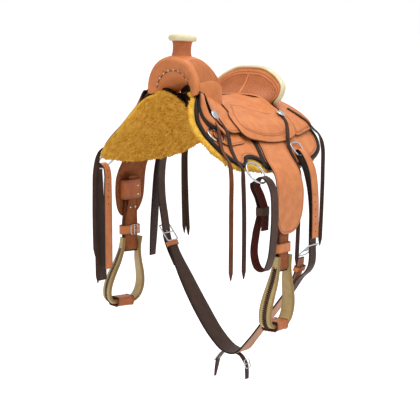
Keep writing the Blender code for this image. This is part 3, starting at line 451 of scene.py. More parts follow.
def swept(name, path, across, width, thick, mats, body, slot, nodes=(), closed=False,
          corner=0.0011, crown=0.0, sides=0):
    """A strap along a path: across is the direction of its width at each place. With sides, its
    section is an ellipse; otherwise it is a rectangle with round corners and a crowned outside."""
    path, across = np.asarray(path, float), np.asarray(across, float)
    n = len(path)
    width = np.broadcast_to(width, n)
    thick = np.broadcast_to(thick, n)
    run = directions(path, closed)
    wide = across - run * (across * run).sum(1)[:, None]
    wide /= np.linalg.norm(wide, axis=1)[:, None]
    out = np.cross(run, wide)
    rings = []
    for i in range(n):
        w, h = width[i] / 2, thick[i] / 2
        if sides:
            turn = np.arange(sides) * tau / sides
            shape = np.stack([w * np.cos(turn), h * np.sin(turn)], 1)
        else:
            r = min(corner, h * 0.95, w * 0.95)
            shape = []
            for quarter, (sx, sy) in enumerate(((1, 1), (-1, 1), (-1, -1), (1, -1))):
                for k in range(4):
                    a = pi / 2 * (quarter + k / 3)
                    shape.append((sx * (w - r) + r * cos(a), sy * (h - r) + r * sin(a)))
                if quarter == 0 or quarter == 2:
                    for k in (0.6, 0.2, -0.2, -0.6):
                        lift = crown * (1 - k * k) if quarter == 0 else 0
                        shape.append((sx * k * w, sy * h + lift))
            shape = np.array(shape)
        rings.append(path[i] + shape[:, :1] * wide[i] + shape[:, 1:] * out[i])
    m = len(rings[0])
    verts = np.concatenate(rings)
    faces = []
    for i in range(n if closed else n - 1):
        j = (i + 1) % n
        faces += [(i * m + k, i * m + (k + 1) % m, j * m + (k + 1) % m, j * m + k)
                  for k in range(m)]
    if not closed:
        faces += [tuple(range(m))[::-1], tuple(range((n - 1) * m, n * m))]
    length = lengths_along(path)
    if sides:
        edge = np.zeros(n * m)
    else:
        # How worn the section is at each of its places: full at corners and sides, not on faces
        one = np.array([1, 1, 1, .45, 0, 0, 0, 0, .45, 1, 1, 1, 1, 1, 1, .45, 0, 0, 0, 0, .45, 1, 1, 1])
        edge = np.tile(one, n)
        if not closed:
            edge[:m] = np.maximum(edge[:m], 0.7)
            edge[-m:] = np.maximum(edge[-m:], 0.7)
    flat = np.stack([np.repeat(length, m),
                     np.concatenate([np.linspace(-1, 1, m) * w / 2 for w in width])], 1)
    found = {"edge": edge, "groove": np.zeros(n * m)}
    kinds = None
    if len(mats) > 1 and not sides:
        # The second material covers the section's inner face
        kinds = [int(15 <= f[0] % m <= 19) if len(f) == 4 else 0 for f in faces]
    return finish_piece(name, verts, faces, mats, body, nodes, found, flat, kinds)


def strap(name, keys, across, thick, mats, body, slot, nodes=(), step=0.004, **more):
    """A strap through keys (x, y, z, width), with across once or for each key."""
    turns = across if isinstance(across, list) else [across] * len(keys)
    closed = more.get("closed", False)
    rows = curve_through([(*k, *a) for k, a in zip(keys, turns)], step, closed)
    return swept(name, rows[:, :3], rows[:, 4:7], rows[:, 3], thick, mats, body, slot, nodes,
                 **more)


def round_bar(name, points, radius, mat, body, slot, nodes=(), closed=False, sides=12):
    """A bar of round section bent through the points, and tapered if radius has two values."""
    path = curve_through(points, 0.003, closed)
    n = len(path)
    run = directions(path, closed)
    spread = np.linalg.svd(path - path.mean(0))[2][2]
    start = np.cross(run[0], spread)
    if np.linalg.norm(start) < 0.3:
        start = np.cross(run[0], (0.3, 0.5, 0.8))
    across = [start]
    for i in range(1, n):
        last = across[-1] - run[i] * across[-1].dot(run[i])
        across.append(last / np.linalg.norm(last))
    size = np.linspace(*radius, n) if isinstance(radius, tuple) else np.full(n, radius)
    return swept(name, path, np.array(across), 2 * size, 2 * size, [mat], body, slot, nodes,
                 closed=closed, sides=sides)


def turned(name, profile, place, out, mat, body, nodes=(), steps=64, ripple=None):
    """A turned piece: profile is (radius, height) from its axis's foot to its top."""
    rows = np.array(profile, float)
    turn = Vector(out).to_track_quat("Z", "Y").to_matrix()
    verts, faces = [], []
    for r, h in rows:
        for k in range(steps):
            a = tau * k / steps
            grow = 1 + (ripple(r, a) if ripple else 0)
            verts.append(Vector(place) + turn @ Vector((r * grow * cos(a), r * grow * sin(a), h)))
    closed = np.allclose(rows[0], rows[-1])
    n = len(rows) - (1 if closed else 0)
    for i in range(len(rows) - 1):
        j = (i + 1) % n
        i = i % n
        faces += [(i * steps + k, i * steps + (k + 1) % steps, j * steps + (k + 1) % steps,
                   j * steps + k) for k in range(steps)]
    verts = verts[:n * steps]
    if not closed:
        faces += [tuple(range(steps))[::-1], tuple(range((n - 1) * steps, n * steps))]
    return finish_piece(name, verts, faces, [mat], body, nodes)


def joined(name, parts, body, nodes=()):
    """Several pieces put together as one."""
    bm = bmesh.new()
    mats = []
    for part in parts:
        first = len(bm.faces)
        bm.from_mesh(part.data)
        bm.faces.ensure_lookup_table()
        for face in bm.faces[first:]:
            face.material_index += len(mats)
        mats += list(part.data.materials)
        bpy.data.objects.remove(part, do_unlink=True)
    mesh = bpy.data.meshes.new(name)
    bm.to_mesh(mesh)
    bm.free()
    for mat in mats:
        mesh.materials.append(mat)
    return hung(name, mesh, body, nodes)


def shell(name, grid, mats, body, nodes=(), groove=None, kinds=None):
    """A closed wall from a grid whose rows go round it: out on one face and back on the other."""
    n, m = grid.shape[:2]
    faces = [(i * m + k, i * m + k + 1, (i + 1) % n * m + k + 1, (i + 1) % n * m + k)
             for i in range(n) for k in range(m - 1)]
    rows = [i for i in range(n) for _ in range(m - 1)]
    for k in (0, m - 1):
        for i in range((n - 1) // 2):
            ring = [i, i + 1, n - 2 - i, n - 1 - i]
            ring = [r for j, r in enumerate(ring) if r not in ring[:j]]
            faces.append(tuple(r * m + k for r in ring))
            rows.append(i)
    marks = {"groove": np.zeros(n * m) if groove is None else groove.ravel(),
             "edge": np.zeros(n * m)}
    kinds = None if kinds is None else [kinds[i] for i in rows]
    return finish_piece(name, grid.reshape(-1, 3), faces, mats, body, nodes, marks,
                        kinds=kinds)


def grid_normals(grid):
    """Square directions of a grid, along its rows crossed with along its columns."""
    out = np.cross(np.gradient(grid, axis=1), np.gradient(grid, axis=0))
    return out / np.maximum(np.linalg.norm(out, axis=2), 1e-12)[..., None]


def lumps(p, size, seed=0):
    """Smooth noise from -1 to 1 at places p, its lumps about size across."""
    q = np.asarray(p, float) / size + 57.31 * (seed + 1)
    cell = np.floor(q).astype(np.int64)
    f = q - cell
    f = f * f * (3 - 2 * f)
    total = np.zeros(len(q))
    for corner in range(8):
        o = np.array([corner & 1, corner >> 1 & 1, corner >> 2])
        key = (cell + o) @ np.array([73856093, 19349663, 83492791]) + seed * 7919
        key = ((key ^ (key >> 13)) * 1274126177) & 0x7fffffff
        total += np.prod(np.where(o, f, 1 - f), axis=1) * ((key % 20011) / 10005.5 - 1)
    return total


def basket(s, t, size=0.0085, depth=0.0010):
    """The relief of a basket-weave stamp: blocks of three bars that turn at every step."""
    a, b = (s + t) / 2**0.5 / size, (s - t) / 2**0.5 / size
    turn = (np.floor(a) + np.floor(b)) % 2
    along, over = np.where(turn, a % 1, b % 1), np.where(turn, b % 1, a % 1)
    bars = 0.5 + 0.5 * np.cos(tau * 3 * (over - 0.5))
    return depth * (bars * np.sin(pi * along) ** 0.5 - 0.75)


def repeated(name, places, alongs, outs, size, mat, body, vary=0.0, detail=1):
    """One small rounded shape put at every place, its length along and its height out."""
    mesh = bpy.data.meshes.new(name)
    mesh.from_pydata([tuple(p) for p in places], [], [])
    for key, values in (("along", alongs), ("out", outs)):
        values = np.broadcast_to(np.asarray(values, float), (len(places), 3))
        mesh.attributes.new(key, "FLOAT_VECTOR", "POINT").data.foreach_set("vector",
                                                                         values.ravel())
    obj = bpy.data.objects.new(name, mesh)
    bpy.context.scene.collection.objects.link(obj)
    tree = bpy.data.node_groups.new("repeated_" + name, "GeometryNodeTree")
    tree.interface.new_socket("Places", in_out="INPUT", socket_type="NodeSocketGeometry")
    values = {"Length": size[0], "Width": size[1], "Height": size[2], "Variation": vary}
    keys = {k: tree.interface.new_socket(k, in_out="INPUT", socket_type="NodeSocketFloat")
            for k in values}
    tree.interface.new_socket("Pieces", in_out="OUTPUT", socket_type="NodeSocketGeometry")
    given = add_node(tree, "NodeGroupInput").outputs
    ball = add_node(tree, "GeometryNodeMeshIcoSphere", {"Radius": 0.5, "Subdivisions": detail})
    scale = add_node(tree, "ShaderNodeCombineXYZ", {"X": given["Length"], "Y": given["Width"],
                                                    "Z": given["Height"]})
    shape = add_node(tree, "GeometryNodeTransform", {"Geometry": ball.outputs["Mesh"],
                                                     "Scale": scale.outputs[0]})
    way = [add_node(tree, "GeometryNodeInputNamedAttribute", {"Name": key},
                    data_type="FLOAT_VECTOR").outputs["Attribute"] for key in ("along", "out")]
    lie = add_node(tree, "FunctionNodeAlignRotationToVector", {"Vector": way[0]}, axis="X")
    lie = add_node(tree, "FunctionNodeAlignRotationToVector",
                   {"Rotation": lie.outputs[0], "Vector": way[1]}, axis="Z", pivot_axis="X")
    least = add_node(tree, "ShaderNodeMath", {0: 1.0, 1: given["Variation"]},
                     operation="SUBTRACT")
    grow = add_node(tree, "FunctionNodeRandomValue", {2: least.outputs[0], 3: 1.0, "Seed": 7})
    set_out = add_node(tree, "GeometryNodeInstanceOnPoints",
                       {"Points": given["Places"], "Instance": shape.outputs[0],
                        "Rotation": lie.outputs[0], "Scale": grow.outputs[1]})
    real = add_node(tree, "GeometryNodeRealizeInstances", {"Geometry": set_out.outputs[0]})
    round_off = add_node(tree, "GeometryNodeSetShadeSmooth", {"Geometry": real.outputs[0],
                                                              "Shade Smooth": True})
    done = add_node(tree, "GeometryNodeSetMaterial", {"Geometry": round_off.outputs[0],
                                                      "Material": mat})
    result = add_node(tree, "NodeGroupOutput")
    tree.links.new(done.outputs[0], result.inputs[0])
    mod = obj.modifiers.new("repeated", "NODES")
    mod.node_group = tree
    for key, socket in keys.items():
        mod[socket.identifier] = values[key]
    plain = bpy.data.meshes.new_from_object(obj.evaluated_get(
        bpy.context.evaluated_depsgraph_get()))
    obj.modifiers.remove(mod)
    obj.data = plain
    for key in ("along", "out"):
        if key in plain.attributes:
            plain.attributes.remove(plain.attributes[key])
    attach(obj, body)
    return obj


def along_path(path, outs, pitch):
    """Places every pitch along a path: the places, their directions and their outs."""
    path, outs = np.asarray(path, float), np.asarray(outs, float)
    steps = lengths_along(path)
    at = np.arange(pitch / 2, steps[-1], pitch)
    place = np.stack([np.interp(at, steps, path[:, k]) for k in range(3)], 1)
    out = np.stack([np.interp(at, steps, outs[:, k]) for k in range(3)], 1)
    run = np.stack([np.interp(at, steps, np.gradient(path[:, k])) for k in range(3)], 1)
    run /= np.linalg.norm(run, axis=1)[:, None]
    return place, run, out


def axes_at(origin, right, up):
    """A placing matrix whose local X is right, local Y is up and local Z their cross product."""
    right = Vector(right).normalized()
    out = right.cross(Vector(up)).normalized()
    up = out.cross(right)
    return Matrix.LocRotScale(Vector(origin), Matrix((right, up, out)).transposed(), None)


def round_box(half_x, half_y, corner, steps=5):
    """The outline of a rectangle with round corners."""
    out = []
    for quarter, (sx, sy) in enumerate(((1, 1), (-1, 1), (-1, -1), (1, -1))):
        for i in range(steps):
            a = pi / 2 * (quarter + i / (steps - 1))
            out.append((sx * (half_x - corner) + corner * cos(a),
                        sy * (half_y - corner) + corner * sin(a)))
    return out


def back_frame(u, y, lift, side):
    """A place over the back and the direction out of it."""
    here = on_back(u, y, lift, side)
    out = on_back(u, y, lift + .01, side) - here
    return here, out / np.linalg.norm(out)


# Materials

def shearling():
    """Dyed lamb's wool, brushed: dull soft locks; the colour darkens where the bump is low, painted
    shade in the clefts between them.
    """
    mat, tree, shader = new_material("gold_dyed_shearling", Roughness=0.95, Specular_IOR_Level=0.15,
                                     Sheen_Weight=0.08)
    place = add_node(tree, "ShaderNodeTexCoord").outputs["Object"]
    lock = add_node(tree, "ShaderNodeTexNoise", {"Vector": place, "Scale": 48, "Detail": 4})
    hair = add_node(tree, "ShaderNodeTexNoise", {"Vector": place, "Scale": 420, "Detail": 3})
    mix = add_node(tree, "ShaderNodeMath", {0: lock.outputs["Fac"], 1: hair.outputs["Fac"]},
                   operation="ADD")
    ramp = add_node(tree, "ShaderNodeValToRGB", {"Fac": add_node(
        tree, "ShaderNodeMapRange", {"Value": mix.outputs[0], "From Min": 0.64,
                                     "From Max": 1.28}).outputs[0]})
    stops = ramp.color_ramp.elements
    stops[0].color, stops[1].color = linear("#BC7E1E"), linear("#FFD160")
    stops.new(0.45).color = linear("#EDB037")
    tree.links.new(ramp.outputs[0], shader.inputs["Base Color"])
    dent = add_node(tree, "ShaderNodeBump", {"Height": mix.outputs[0], "Strength": 0.45,
                                             "Distance": 0.003})
    tree.links.new(dent.outputs[0], shader.inputs["Normal"])
    return mat


def metal(name, colour, rough):
    """Plated steel, polished: mirror bright, with fine wear marks."""
    mat, tree, shader = new_material(name, Metallic=1.0)
    place = add_node(tree, "ShaderNodeTexCoord").outputs["Object"]
    rub = add_node(tree, "ShaderNodeTexNoise", {"Vector": place, "Scale": 350, "Detail": 4})
    span = add_node(tree, "ShaderNodeMapRange", {"Value": rub.outputs["Fac"],
                                                 "To Min": rough * 0.6, "To Max": rough * 1.5})
    tree.links.new(span.outputs[0], shader.inputs["Roughness"])
    tone = add_node(tree, "ShaderNodeMix", {0: rub.outputs["Fac"]}, data_type="RGBA")
    tone.inputs[6].default_value = linear(colour)
    tone.inputs[7].default_value = tuple(0.82 * c for c in linear(colour)[:3]) + (1,)
    tree.links.new(tone.outputs[2], shader.inputs["Base Color"])
    dent = add_node(tree, "ShaderNodeBump", {"Height": rub.outputs["Fac"], "Strength": 0.05,
                                             "Distance": 0.0003})
    tree.links.new(dent.outputs[0], shader.inputs["Normal"])
    return mat


def tree_wood():
    """Sawn pine of the tree, glued up: straight grain, painted a dark brown that is partly painted
    shade, for where the bars show in gaps between the leathers.
    """
    mat, tree, shader = new_material("sawn_pine", Roughness=0.7)
    place = add_node(tree, "ShaderNodeTexCoord").outputs["Object"]
    run = add_node(tree, "ShaderNodeMapping", {"Vector": place, "Scale": (60, 6, 60)})
    grain = add_node(tree, "ShaderNodeTexNoise", {"Vector": run.outputs[0], "Scale": 3,
                                                  "Detail": 6, "Distortion": 0.6})
    ramp = add_node(tree, "ShaderNodeValToRGB", {"Fac": grain.outputs["Fac"]})
    ramp.color_ramp.elements[0].color = linear("#54361E")
    ramp.color_ramp.elements[1].color = linear("#845A35")
    tree.links.new(ramp.outputs[0], shader.inputs["Base Color"])
    dent = add_node(tree, "ShaderNodeBump", {"Height": grain.outputs["Fac"], "Strength": 0.2,
                                             "Distance": 0.001})
    tree.links.new(dent.outputs[0], shader.inputs["Normal"])
    return mat


# Vegetable-tanned skirting leather, oiled: warm tan, satin, with a fine pebble and dark cut edges
RUSSET = hide("russet_skirting_leather", "#E58E55", "#C8723D", "#4A2413", groove="#8E4A27",
              grain=0.8, rough=0.48, bump=0.12, coat=0.05, mottle=0.6)
# The same leather painted a little deeper: painted shade, a darker copy of the leather for parts that
# stand in shadow
SHADED = hide("skirting_leather_painted_shade", "#C97646", "#A95B31", "#3D2013", groove="#74391B",
              grain=0.8, rough=0.5, bump=0.12, coat=0.05, mottle=0.6)
# The fuzzy inner face of the same leather, painted a deeper brown: partly its own colour, partly
# painted shade for inner faces that hang in shadow
FLESH = hide("skirting_leather_flesh_side", "#A9653A", "#8A4A28", "#43220F", grain=1.6, rough=0.9,
             bump=0.35, mottle=0.8)
# Skirting leather dyed black, waxed: the skirts' bound edges, and also the dark sheets that are painted
# shade in gaps and hollows
BLACK_DYE_AND_SHADE = hide("black_dyed_leather_and_painted_shade", "#241A16", "#16100D", "#100B09", grain=0.7, rough=0.45,
              bump=0.15, shine=0.2)
# Rawhide shrunk on wet: pale, hard and glossy, yellower in its folds
RAWHIDE = hide("bleached_rawhide", "#F2E7C1", "#E3D3A0", "#C9B47C", groove="#A48F5C", grain=2.2,
               rough=0.34, bump=0.10, coat=0.25, mottle=0.7)
# Natural rawhide over the stirrups' wood, ambered by oil
STIRRUP_RAWHIDE = hide("oiled_rawhide", "#D3B880", "#BF9F63", "#9C7C45", groove="#7B5D33",
                       grain=2.4, rough=0.4, bump=0.14, coat=0.2, mottle=0.8)
# Burgundy latigo leather: greased, dark and supple
LATIGO = hide("burgundy_latigo_leather", "#43201A", "#321510", "#1D0D0A", groove="#1A0C0A",
              grain=0.9, rough=0.5, bump=0.12, shine=0.2)
# Its inner face, dull and redder
LATIGO_INNER = hide("latigo_flesh_side", "#5C1F14", "#43130C", "#240C08", grain=1.4, rough=0.8,
                    bump=0.3, mottle=0.8, shine=0.15)
# Chocolate strap leather of the flank cinch's outer face
CHOCOLATE = hide("chocolate_harness_leather", "#4E352A", "#39241B", "#20130F", groove="#20120F",
                 grain=1.0, rough=0.5, bump=0.12, shine=0.2)
# Roughout lining of the flank cinch, pinkish tan
LINING = hide("pink_tan_lining_leather", "#D9A98C", "#C28F70", "#6B4230", grain=1.5, rough=0.85,
              bump=0.3, mottle=0.7)
# Saddle string, cut from latigo side and waxed
STRING = hide("waxed_saddle_string", "#43291E", "#2E1A12", "#1C100B", grain=0.8, rough=0.55,
              bump=0.15, shine=0.2)
ROUGH_STRING = hide("roughout_saddle_string", "#7C452A", "#5C3018", "#331A0E", grain=1.2,
                    rough=0.85, bump=0.3, mottle=0.8)
THREAD = hide("waxed_linen_thread", "#EFE0BE", "#D9C49A", "#B69B6C", grain=0.5, rough=0.7)
WOOL = shearling()
CHROME = metal("polished_chrome_plate", "#B9BABD", 0.2)
NICKEL = metal("nickel_spot", "#C9C5BA", 0.25)
PINE = tree_wood()


# Fork, horn and seat

FORK_SPRING = 0.145
# A power under 1 squares the fork's shoulders
SHOULDER = 0.86
# Rows of the fork's leather from the seat over its crown and round the rim into the bowl, as
# (y, half width, top, foot); a foot of zero stands on the bars
FORK_ROWS = [(-.090, .109, .173, 0), (-.094, .120, .200, 0), (-.105, .123, .240, 0),
             (-.125, .121, .264, 0), (-.150, .118, .272, 0), (-.180, .114, .2735, 0),
             (-.203, .111, .2715, .149), (-.2165, .1065, .267, .145), (-.2240, .0995, .257, .142),
             (-.2230, .091, .246, .141), (-.2170, .080, .234, .143), (-.208, .0705, .219, .146),
             (-.194, .062, .201, .150), (-.170, .055, .185, .153), (-.130, .049, .174, .155),
             (-.096, .047, .170, .155)]
FORK_COLUMNS = 250


def bed_height(x, y, lift=BAR_TOP):
    """How high the bars' top is at x."""
    p = on_back(np.linspace(0, 9, 181), y, lift)
    return np.interp(np.abs(x), p[:, 0], p[:, 2])


def arch_ring(half, top):
    """A squared half ellipse over two straight legs: x and z from the near foot to the off."""
    a = np.linspace(0, pi, 500)
    leg = np.linspace(.04, FORK_SPRING, 160)[:-1]
    cross = half * np.sign(np.cos(a)) * np.abs(np.cos(a)) ** SHOULDER
    up = FORK_SPRING + (top - FORK_SPRING) * np.sin(a) ** SHOULDER
    x = np.concatenate([np.full(159, half), cross, np.full(159, -half)])
    z = np.concatenate([leg, up, leg[::-1]])
    return x, z


def fork_grid():
    keys = []
    for y, half, top, foot in FORK_ROWS:
        if not foot:
            x, z = arch_ring(half, top)
            foot = z[np.argmax(z > bed_height(x, y))] - .004
        keys.append((y, half, top, foot))
    rows = curve_through(keys, 0.0016, closed=True, dims=3)
    grid = np.empty((len(rows), FORK_COLUMNS, 3))
    for i, (y, half, top, foot) in enumerate(rows):
        x, z = arch_ring(half, top)
        ring = np.stack([x, z], 1)[z >= foot]
        far = lengths_along(ring)
        at = np.linspace(0, far[-1], FORK_COLUMNS)
        grid[i, :, 0] = np.interp(at, far, ring[:, 0])
        grid[i, :, 1] = y
        grid[i, :, 2] = np.interp(at, far, ring[:, 1])
    return grid


def make_fork():
    grid = fork_grid()
    out = grid_normals(grid)
    centre = np.array([0, -.155, .2])
    if (out[40, FORK_COLUMNS // 2] * (grid[40, FORK_COLUMNS // 2] - centre)).sum() < 0:
        out = -out
    n, m = grid.shape[:2]
    gap = np.linalg.norm(np.diff(grid, axis=0, append=grid[:1]), axis=2)[:, m // 2]
    t = np.repeat(np.cumsum(gap)[:, None], m, 1)
    wide = np.linalg.norm(np.diff(grid, axis=1, prepend=grid[:, :1]), axis=2)
    s = np.cumsum(wide, axis=1)
    s -= s[:, -1:] / 2
    y = grid[..., 1]
    over = np.arange(n)[:, None] < np.argmin(y[:, 0])
    # The stamped panel on each side of the crown, and the distance to its edge
    reach = np.minimum.reduce([np.abs(s) - .062, .152 - np.abs(s), y + .203, -.103 - y])
    reach = np.where(over, reach, -1)
    relief = basket(s, t) * smooth_step(reach / .003) * (reach > 0)
    lines = np.exp(-(reach / .0011) ** 2)
    # A creased line round the front, behind the rim
    lines = np.maximum(lines, np.exp(-((y + .2085) / .0010) ** 2) * over)
    relief = relief - 0.0009 * lines
    grid = grid + out * relief[..., None]
    shell("fork_cover", grid, [RUSSET], "saddle",
          ["fork_cover", "tree_fork"],
          groove=np.maximum(.6 * lines, smooth_step(-relief / .0006) * .7 * (reach > 0)))
    # Spots round the bowl with a small tooled leaf on each side of them
    y, half, top = -.2122, .0742, .2260
    spots, leaves, ways, faces = [], [], [], []
    for k in range(9):
        a = radians(22 + 17 * k)
        p = np.array([half * cos(a), y, FORK_SPRING + (top - FORK_SPRING) * sin(a)])
        face = np.array([-cos(a) * .72, -.62, -sin(a) * .72])
        spots.append(p + face * .0006)
        for turn, away in ((-.5, .0085), (.5, -.0085), (1.6, .004), (-1.6, -.004)):
            b = a + away / .075
            q = np.array([half * cos(b), y - .001, FORK_SPRING + (top - FORK_SPRING) * sin(b)])
            q += np.array([cos(b), 0, sin(b)]) * (.007 if abs(turn) > 1 else -.004)
            leaves.append(q)
            ways.append((-sin(b + turn), .2, cos(b + turn)))
            faces.append(face)
    faces_of_spots = [faces[4 * k] for k in range(9)]
    repeated("fork_spots", spots, (0, 0, 1), faces_of_spots, (.0058, .0058, .003), NICKEL,
             "saddle", detail=2)
    repeated("fork_leaves", leaves, ways, faces, (.0085, .0034, .0018), CHOCOLATE, "saddle",
             detail=2)


def make_gullet_shade_sheet():
    """A black sheet that closes the space under the fork towards the seat: painted shade in the gullet.
    """
    arch = [(.052, .100), (.053, .140), (.047, .162), (.026, .176), (0, .180)]
    cut_sheet("gullet_shade_sheet", arch + [(-x, z) for x, z in arch[-2::-1]],
              lambda s, t, lift: np.stack([s, -.101 + lift, t], -1), 0, .003, [BLACK_DYE_AND_SHADE], "saddle",
              cell=.008)


HORN_PLACE, HORN_OUT = (0, -.165, .262), (0, sin(radians(5)), cos(radians(5)))


def make_horn():
    neck = curve_through([(.0400, -.010, 0), (.0385, -.003, 0), (.0362, .004, 0), (.0335, .012, 0),
                          (.0316, .026, 0), (.0318, .039, 0), (.0332, .050, 0), (.0360, .0590, 0)],
                         .0012, dims=2)[:, :2]
    # Two wraps of leather overlap in low steps
    steps = [(r + .0006 * (sin(h * 600) > .93), h) for r, h in neck]
    profile = [(.022, -.010), *steps, (.022, .0590), (.022, -.010)]
    turned("horn_wrap", profile, HORN_PLACE, HORN_OUT, SHADED, "saddle",
           ["horn_wrap"], steps=72)
    cap = curve_through([(.0320, .0578, 0), (.0412, .0575, 0), (.0464, .0590, 0),
                         (.0490, .0645, 0), (.0488, .0706, 0), (.0462, .0760, 0),
                         (.0415, .0790, 0), (.0340, .0806, 0), (.0190, .0814, 0),
                         (.0010, .0817, 0)], .0012, dims=2)[:, :2]
    turned("horn_cap", cap, HORN_PLACE, HORN_OUT, RAWHIDE, "saddle", ["horn_cap"],
           steps=96)
    frame = Vector(HORN_OUT).to_track_quat("Z", "Y").to_matrix()
    places, ways, outs = [], [], []
    for k in range(64):
        a = tau * k / 64
        p = frame @ Vector((.0449 * cos(a), .0449 * sin(a), .0585))
        places.append(Vector(HORN_PLACE) + p)
        ways.append(frame @ Vector((-sin(a), cos(a), 0)))
        outs.append(frame @ Vector((.3 * cos(a), .3 * sin(a), -1)))
    repeated("horn_cap_stitches", places, ways, outs, (.0030, .0011, .0011), THREAD, "saddle")


def seat_low(s, t):
    u = np.abs(s) / FLAT
    rise = SEAT_RISE * smooth_step((5.2 - u) / 2.5) + SEAT_SWELL * np.exp(-((u - 2.6) / .8) ** 2)
    over = SEAT_LOW + rise * smooth_step((t - .06) / .09)
    return over + (SEAT_FLAP - over) * smooth_step((u - 6) / 2)


def drape(s, t):
    """The underside of leather that lies over the bars and falls to the skirt."""
    u = np.abs(s) / FLAT
    return BAR_TOP + .0003 - (BAR_TOP - SKIRT_TOP) * smooth_step((u - 6) / 2)


def bar_shade_low(s, t):
    """The underside of the black sheet, painted shade, that falls over the bars' front ends to the
    skirt.
    """
    return SKIRT_TOP + .0004 + (drape(s, t) - SKIRT_TOP) * smooth_step((t + .241) / .022)


def flat_outline(outline):
    return [(u * FLAT, y) for u, y in outline]


# The border groove of the seat's jockey, and the seam between the jockey and the seat
JOCKEY_LINE = [(2.5, -.014), (3.6, -.062), (4.6, -.094), (5.42, -.104), (6.2, -.102),
               (6.68, -.069), (7.05, -.012), (7.22, .058), (7.04, .112), (6.72, .122)]
SEAT_SEAM = [(2.1, -.060), (2.5, -.014), (2.94, .022), (3.7, .045), (4.45, .085), (4.7, .120)]


def make_seat():
    outline = SEAT + [(-u, y) for u, y in SEAT[-2:0:-1]]
    lines = []
    for side in (1, -1):
        for points, width, depth in ((JOCKEY_LINE, .0024, .0010), (SEAT_SEAM, .0026, .0012)):
            flat = [(side * u * FLAT, y) for u, y in points]
            lines.append((flat, width, depth))
        inner = [(side * (u - .17) * FLAT, y * .97) for u, y in JOCKEY_LINE]
        lines.append((inner, .0018, .0006))
    cut_sheet("seat_leather", flat_outline(outline), over_back(1), seat_low,
              lambda s, t: seat_low(s, t) + SEAT_THICK, [RUSSET, FLESH], "saddle",
              ["seat_leather", "ground_seat"], cell=.006, lines=lines, rim=.0016)
    # A black sheet between the bars under the cantle: painted shade that closes the gap there
    cut_sheet("channel_cover", flat_outline([(-1.15, .14), (1.15, .14), (1.15, .23), (-1.15, .23)]),
              over_back(1), lambda s, t: drape(s, t) - .0044, lambda s, t: drape(s, t) - .0012,
              [BLACK_DYE_AND_SHADE], "saddle", cell=.006)
    for word, side in SIDES:
        cut_sheet(f"{word}_tree_bar", flat_outline(TREE_BAR), over_back(side), SKIRT_TOP + .0003,
                  BAR_TOP, [PINE], "saddle", [f"{word}_tree_bar"], cell=.012)
        cut_sheet(f"{word}_bar_shade_sheet", flat_outline(BAR_SHADE_SHEET), over_back(side), bar_shade_low,
                  lambda s, t: bar_shade_low(s, t) + .0028, [BLACK_DYE_AND_SHADE], "saddle",
                  cell=.005, rim=.0012)
        cut_sheet(f"{word}_bar_strap", flat_outline(BAR_STRAP), over_back(side),
                  lambda s, t: bar_shade_low(s, t) + .0031, lambda s, t: bar_shade_low(s, t) + .0078,
                  [RUSSET, FLESH], "saddle", cell=.005, rim=.0018)
        cut_sheet(f"{word}_front_jockey", flat_outline(FRONT_JOCKEY), over_back(side), drape,
                  lambda s, t: drape(s, t) + JOCKEY_THICK, [RUSSET, FLESH], "saddle",
                  [f"{word}_front_jockey"], cell=.006, borders=[(.007, .0022, .0008)], rim=.0014,
                  wobble=lambda s, t: .007 * smooth_step((-.175 - t) / .04))
        cut_sheet(f"{word}_rear_jockey", flat_outline(REAR_JOCKEY), over_back(side), drape,
                  lambda s, t: drape(s, t) + JOCKEY_THICK, [RUSSET, FLESH], "saddle",
                  [f"{word}_rear_jockey"], cell=.006,
                  borders=[(.008, .0022, .0009), (.012, .0016, .0006)], rim=.0014)


CANTLE_STEP = 0.0013


def dish_columns(step):
    """Columns across the cantle from its off end to its near one: foot, then rim."""
    half = [(*low, *high) for low, high in zip(CANTLE_BASE, CANTLE_RIM)]
    other = [(-a, b, c, -d, e, f) for a, b, c, d, e, f in half[:0:-1]]
    rows = curve_through(other + half, step, dims=3)
    return rows[:, :3], rows[:, 3:]


def dish(share, back, step=CANTLE_STEP):
    """Rows over the cantle's dish, share 0 at the seat and 1 at the rim, moved rearwards."""
    foot, rim = dish_columns(step)
    tall = np.linalg.norm(rim - foot, axis=1)[None, :, None]
    v = np.asarray(share)[:, None, None]
    sag = tall * .09 * 4 * v * (1 - v)
    return foot + (rim - foot) * v + sag * (0, .5, -1) + (0, back, 0)


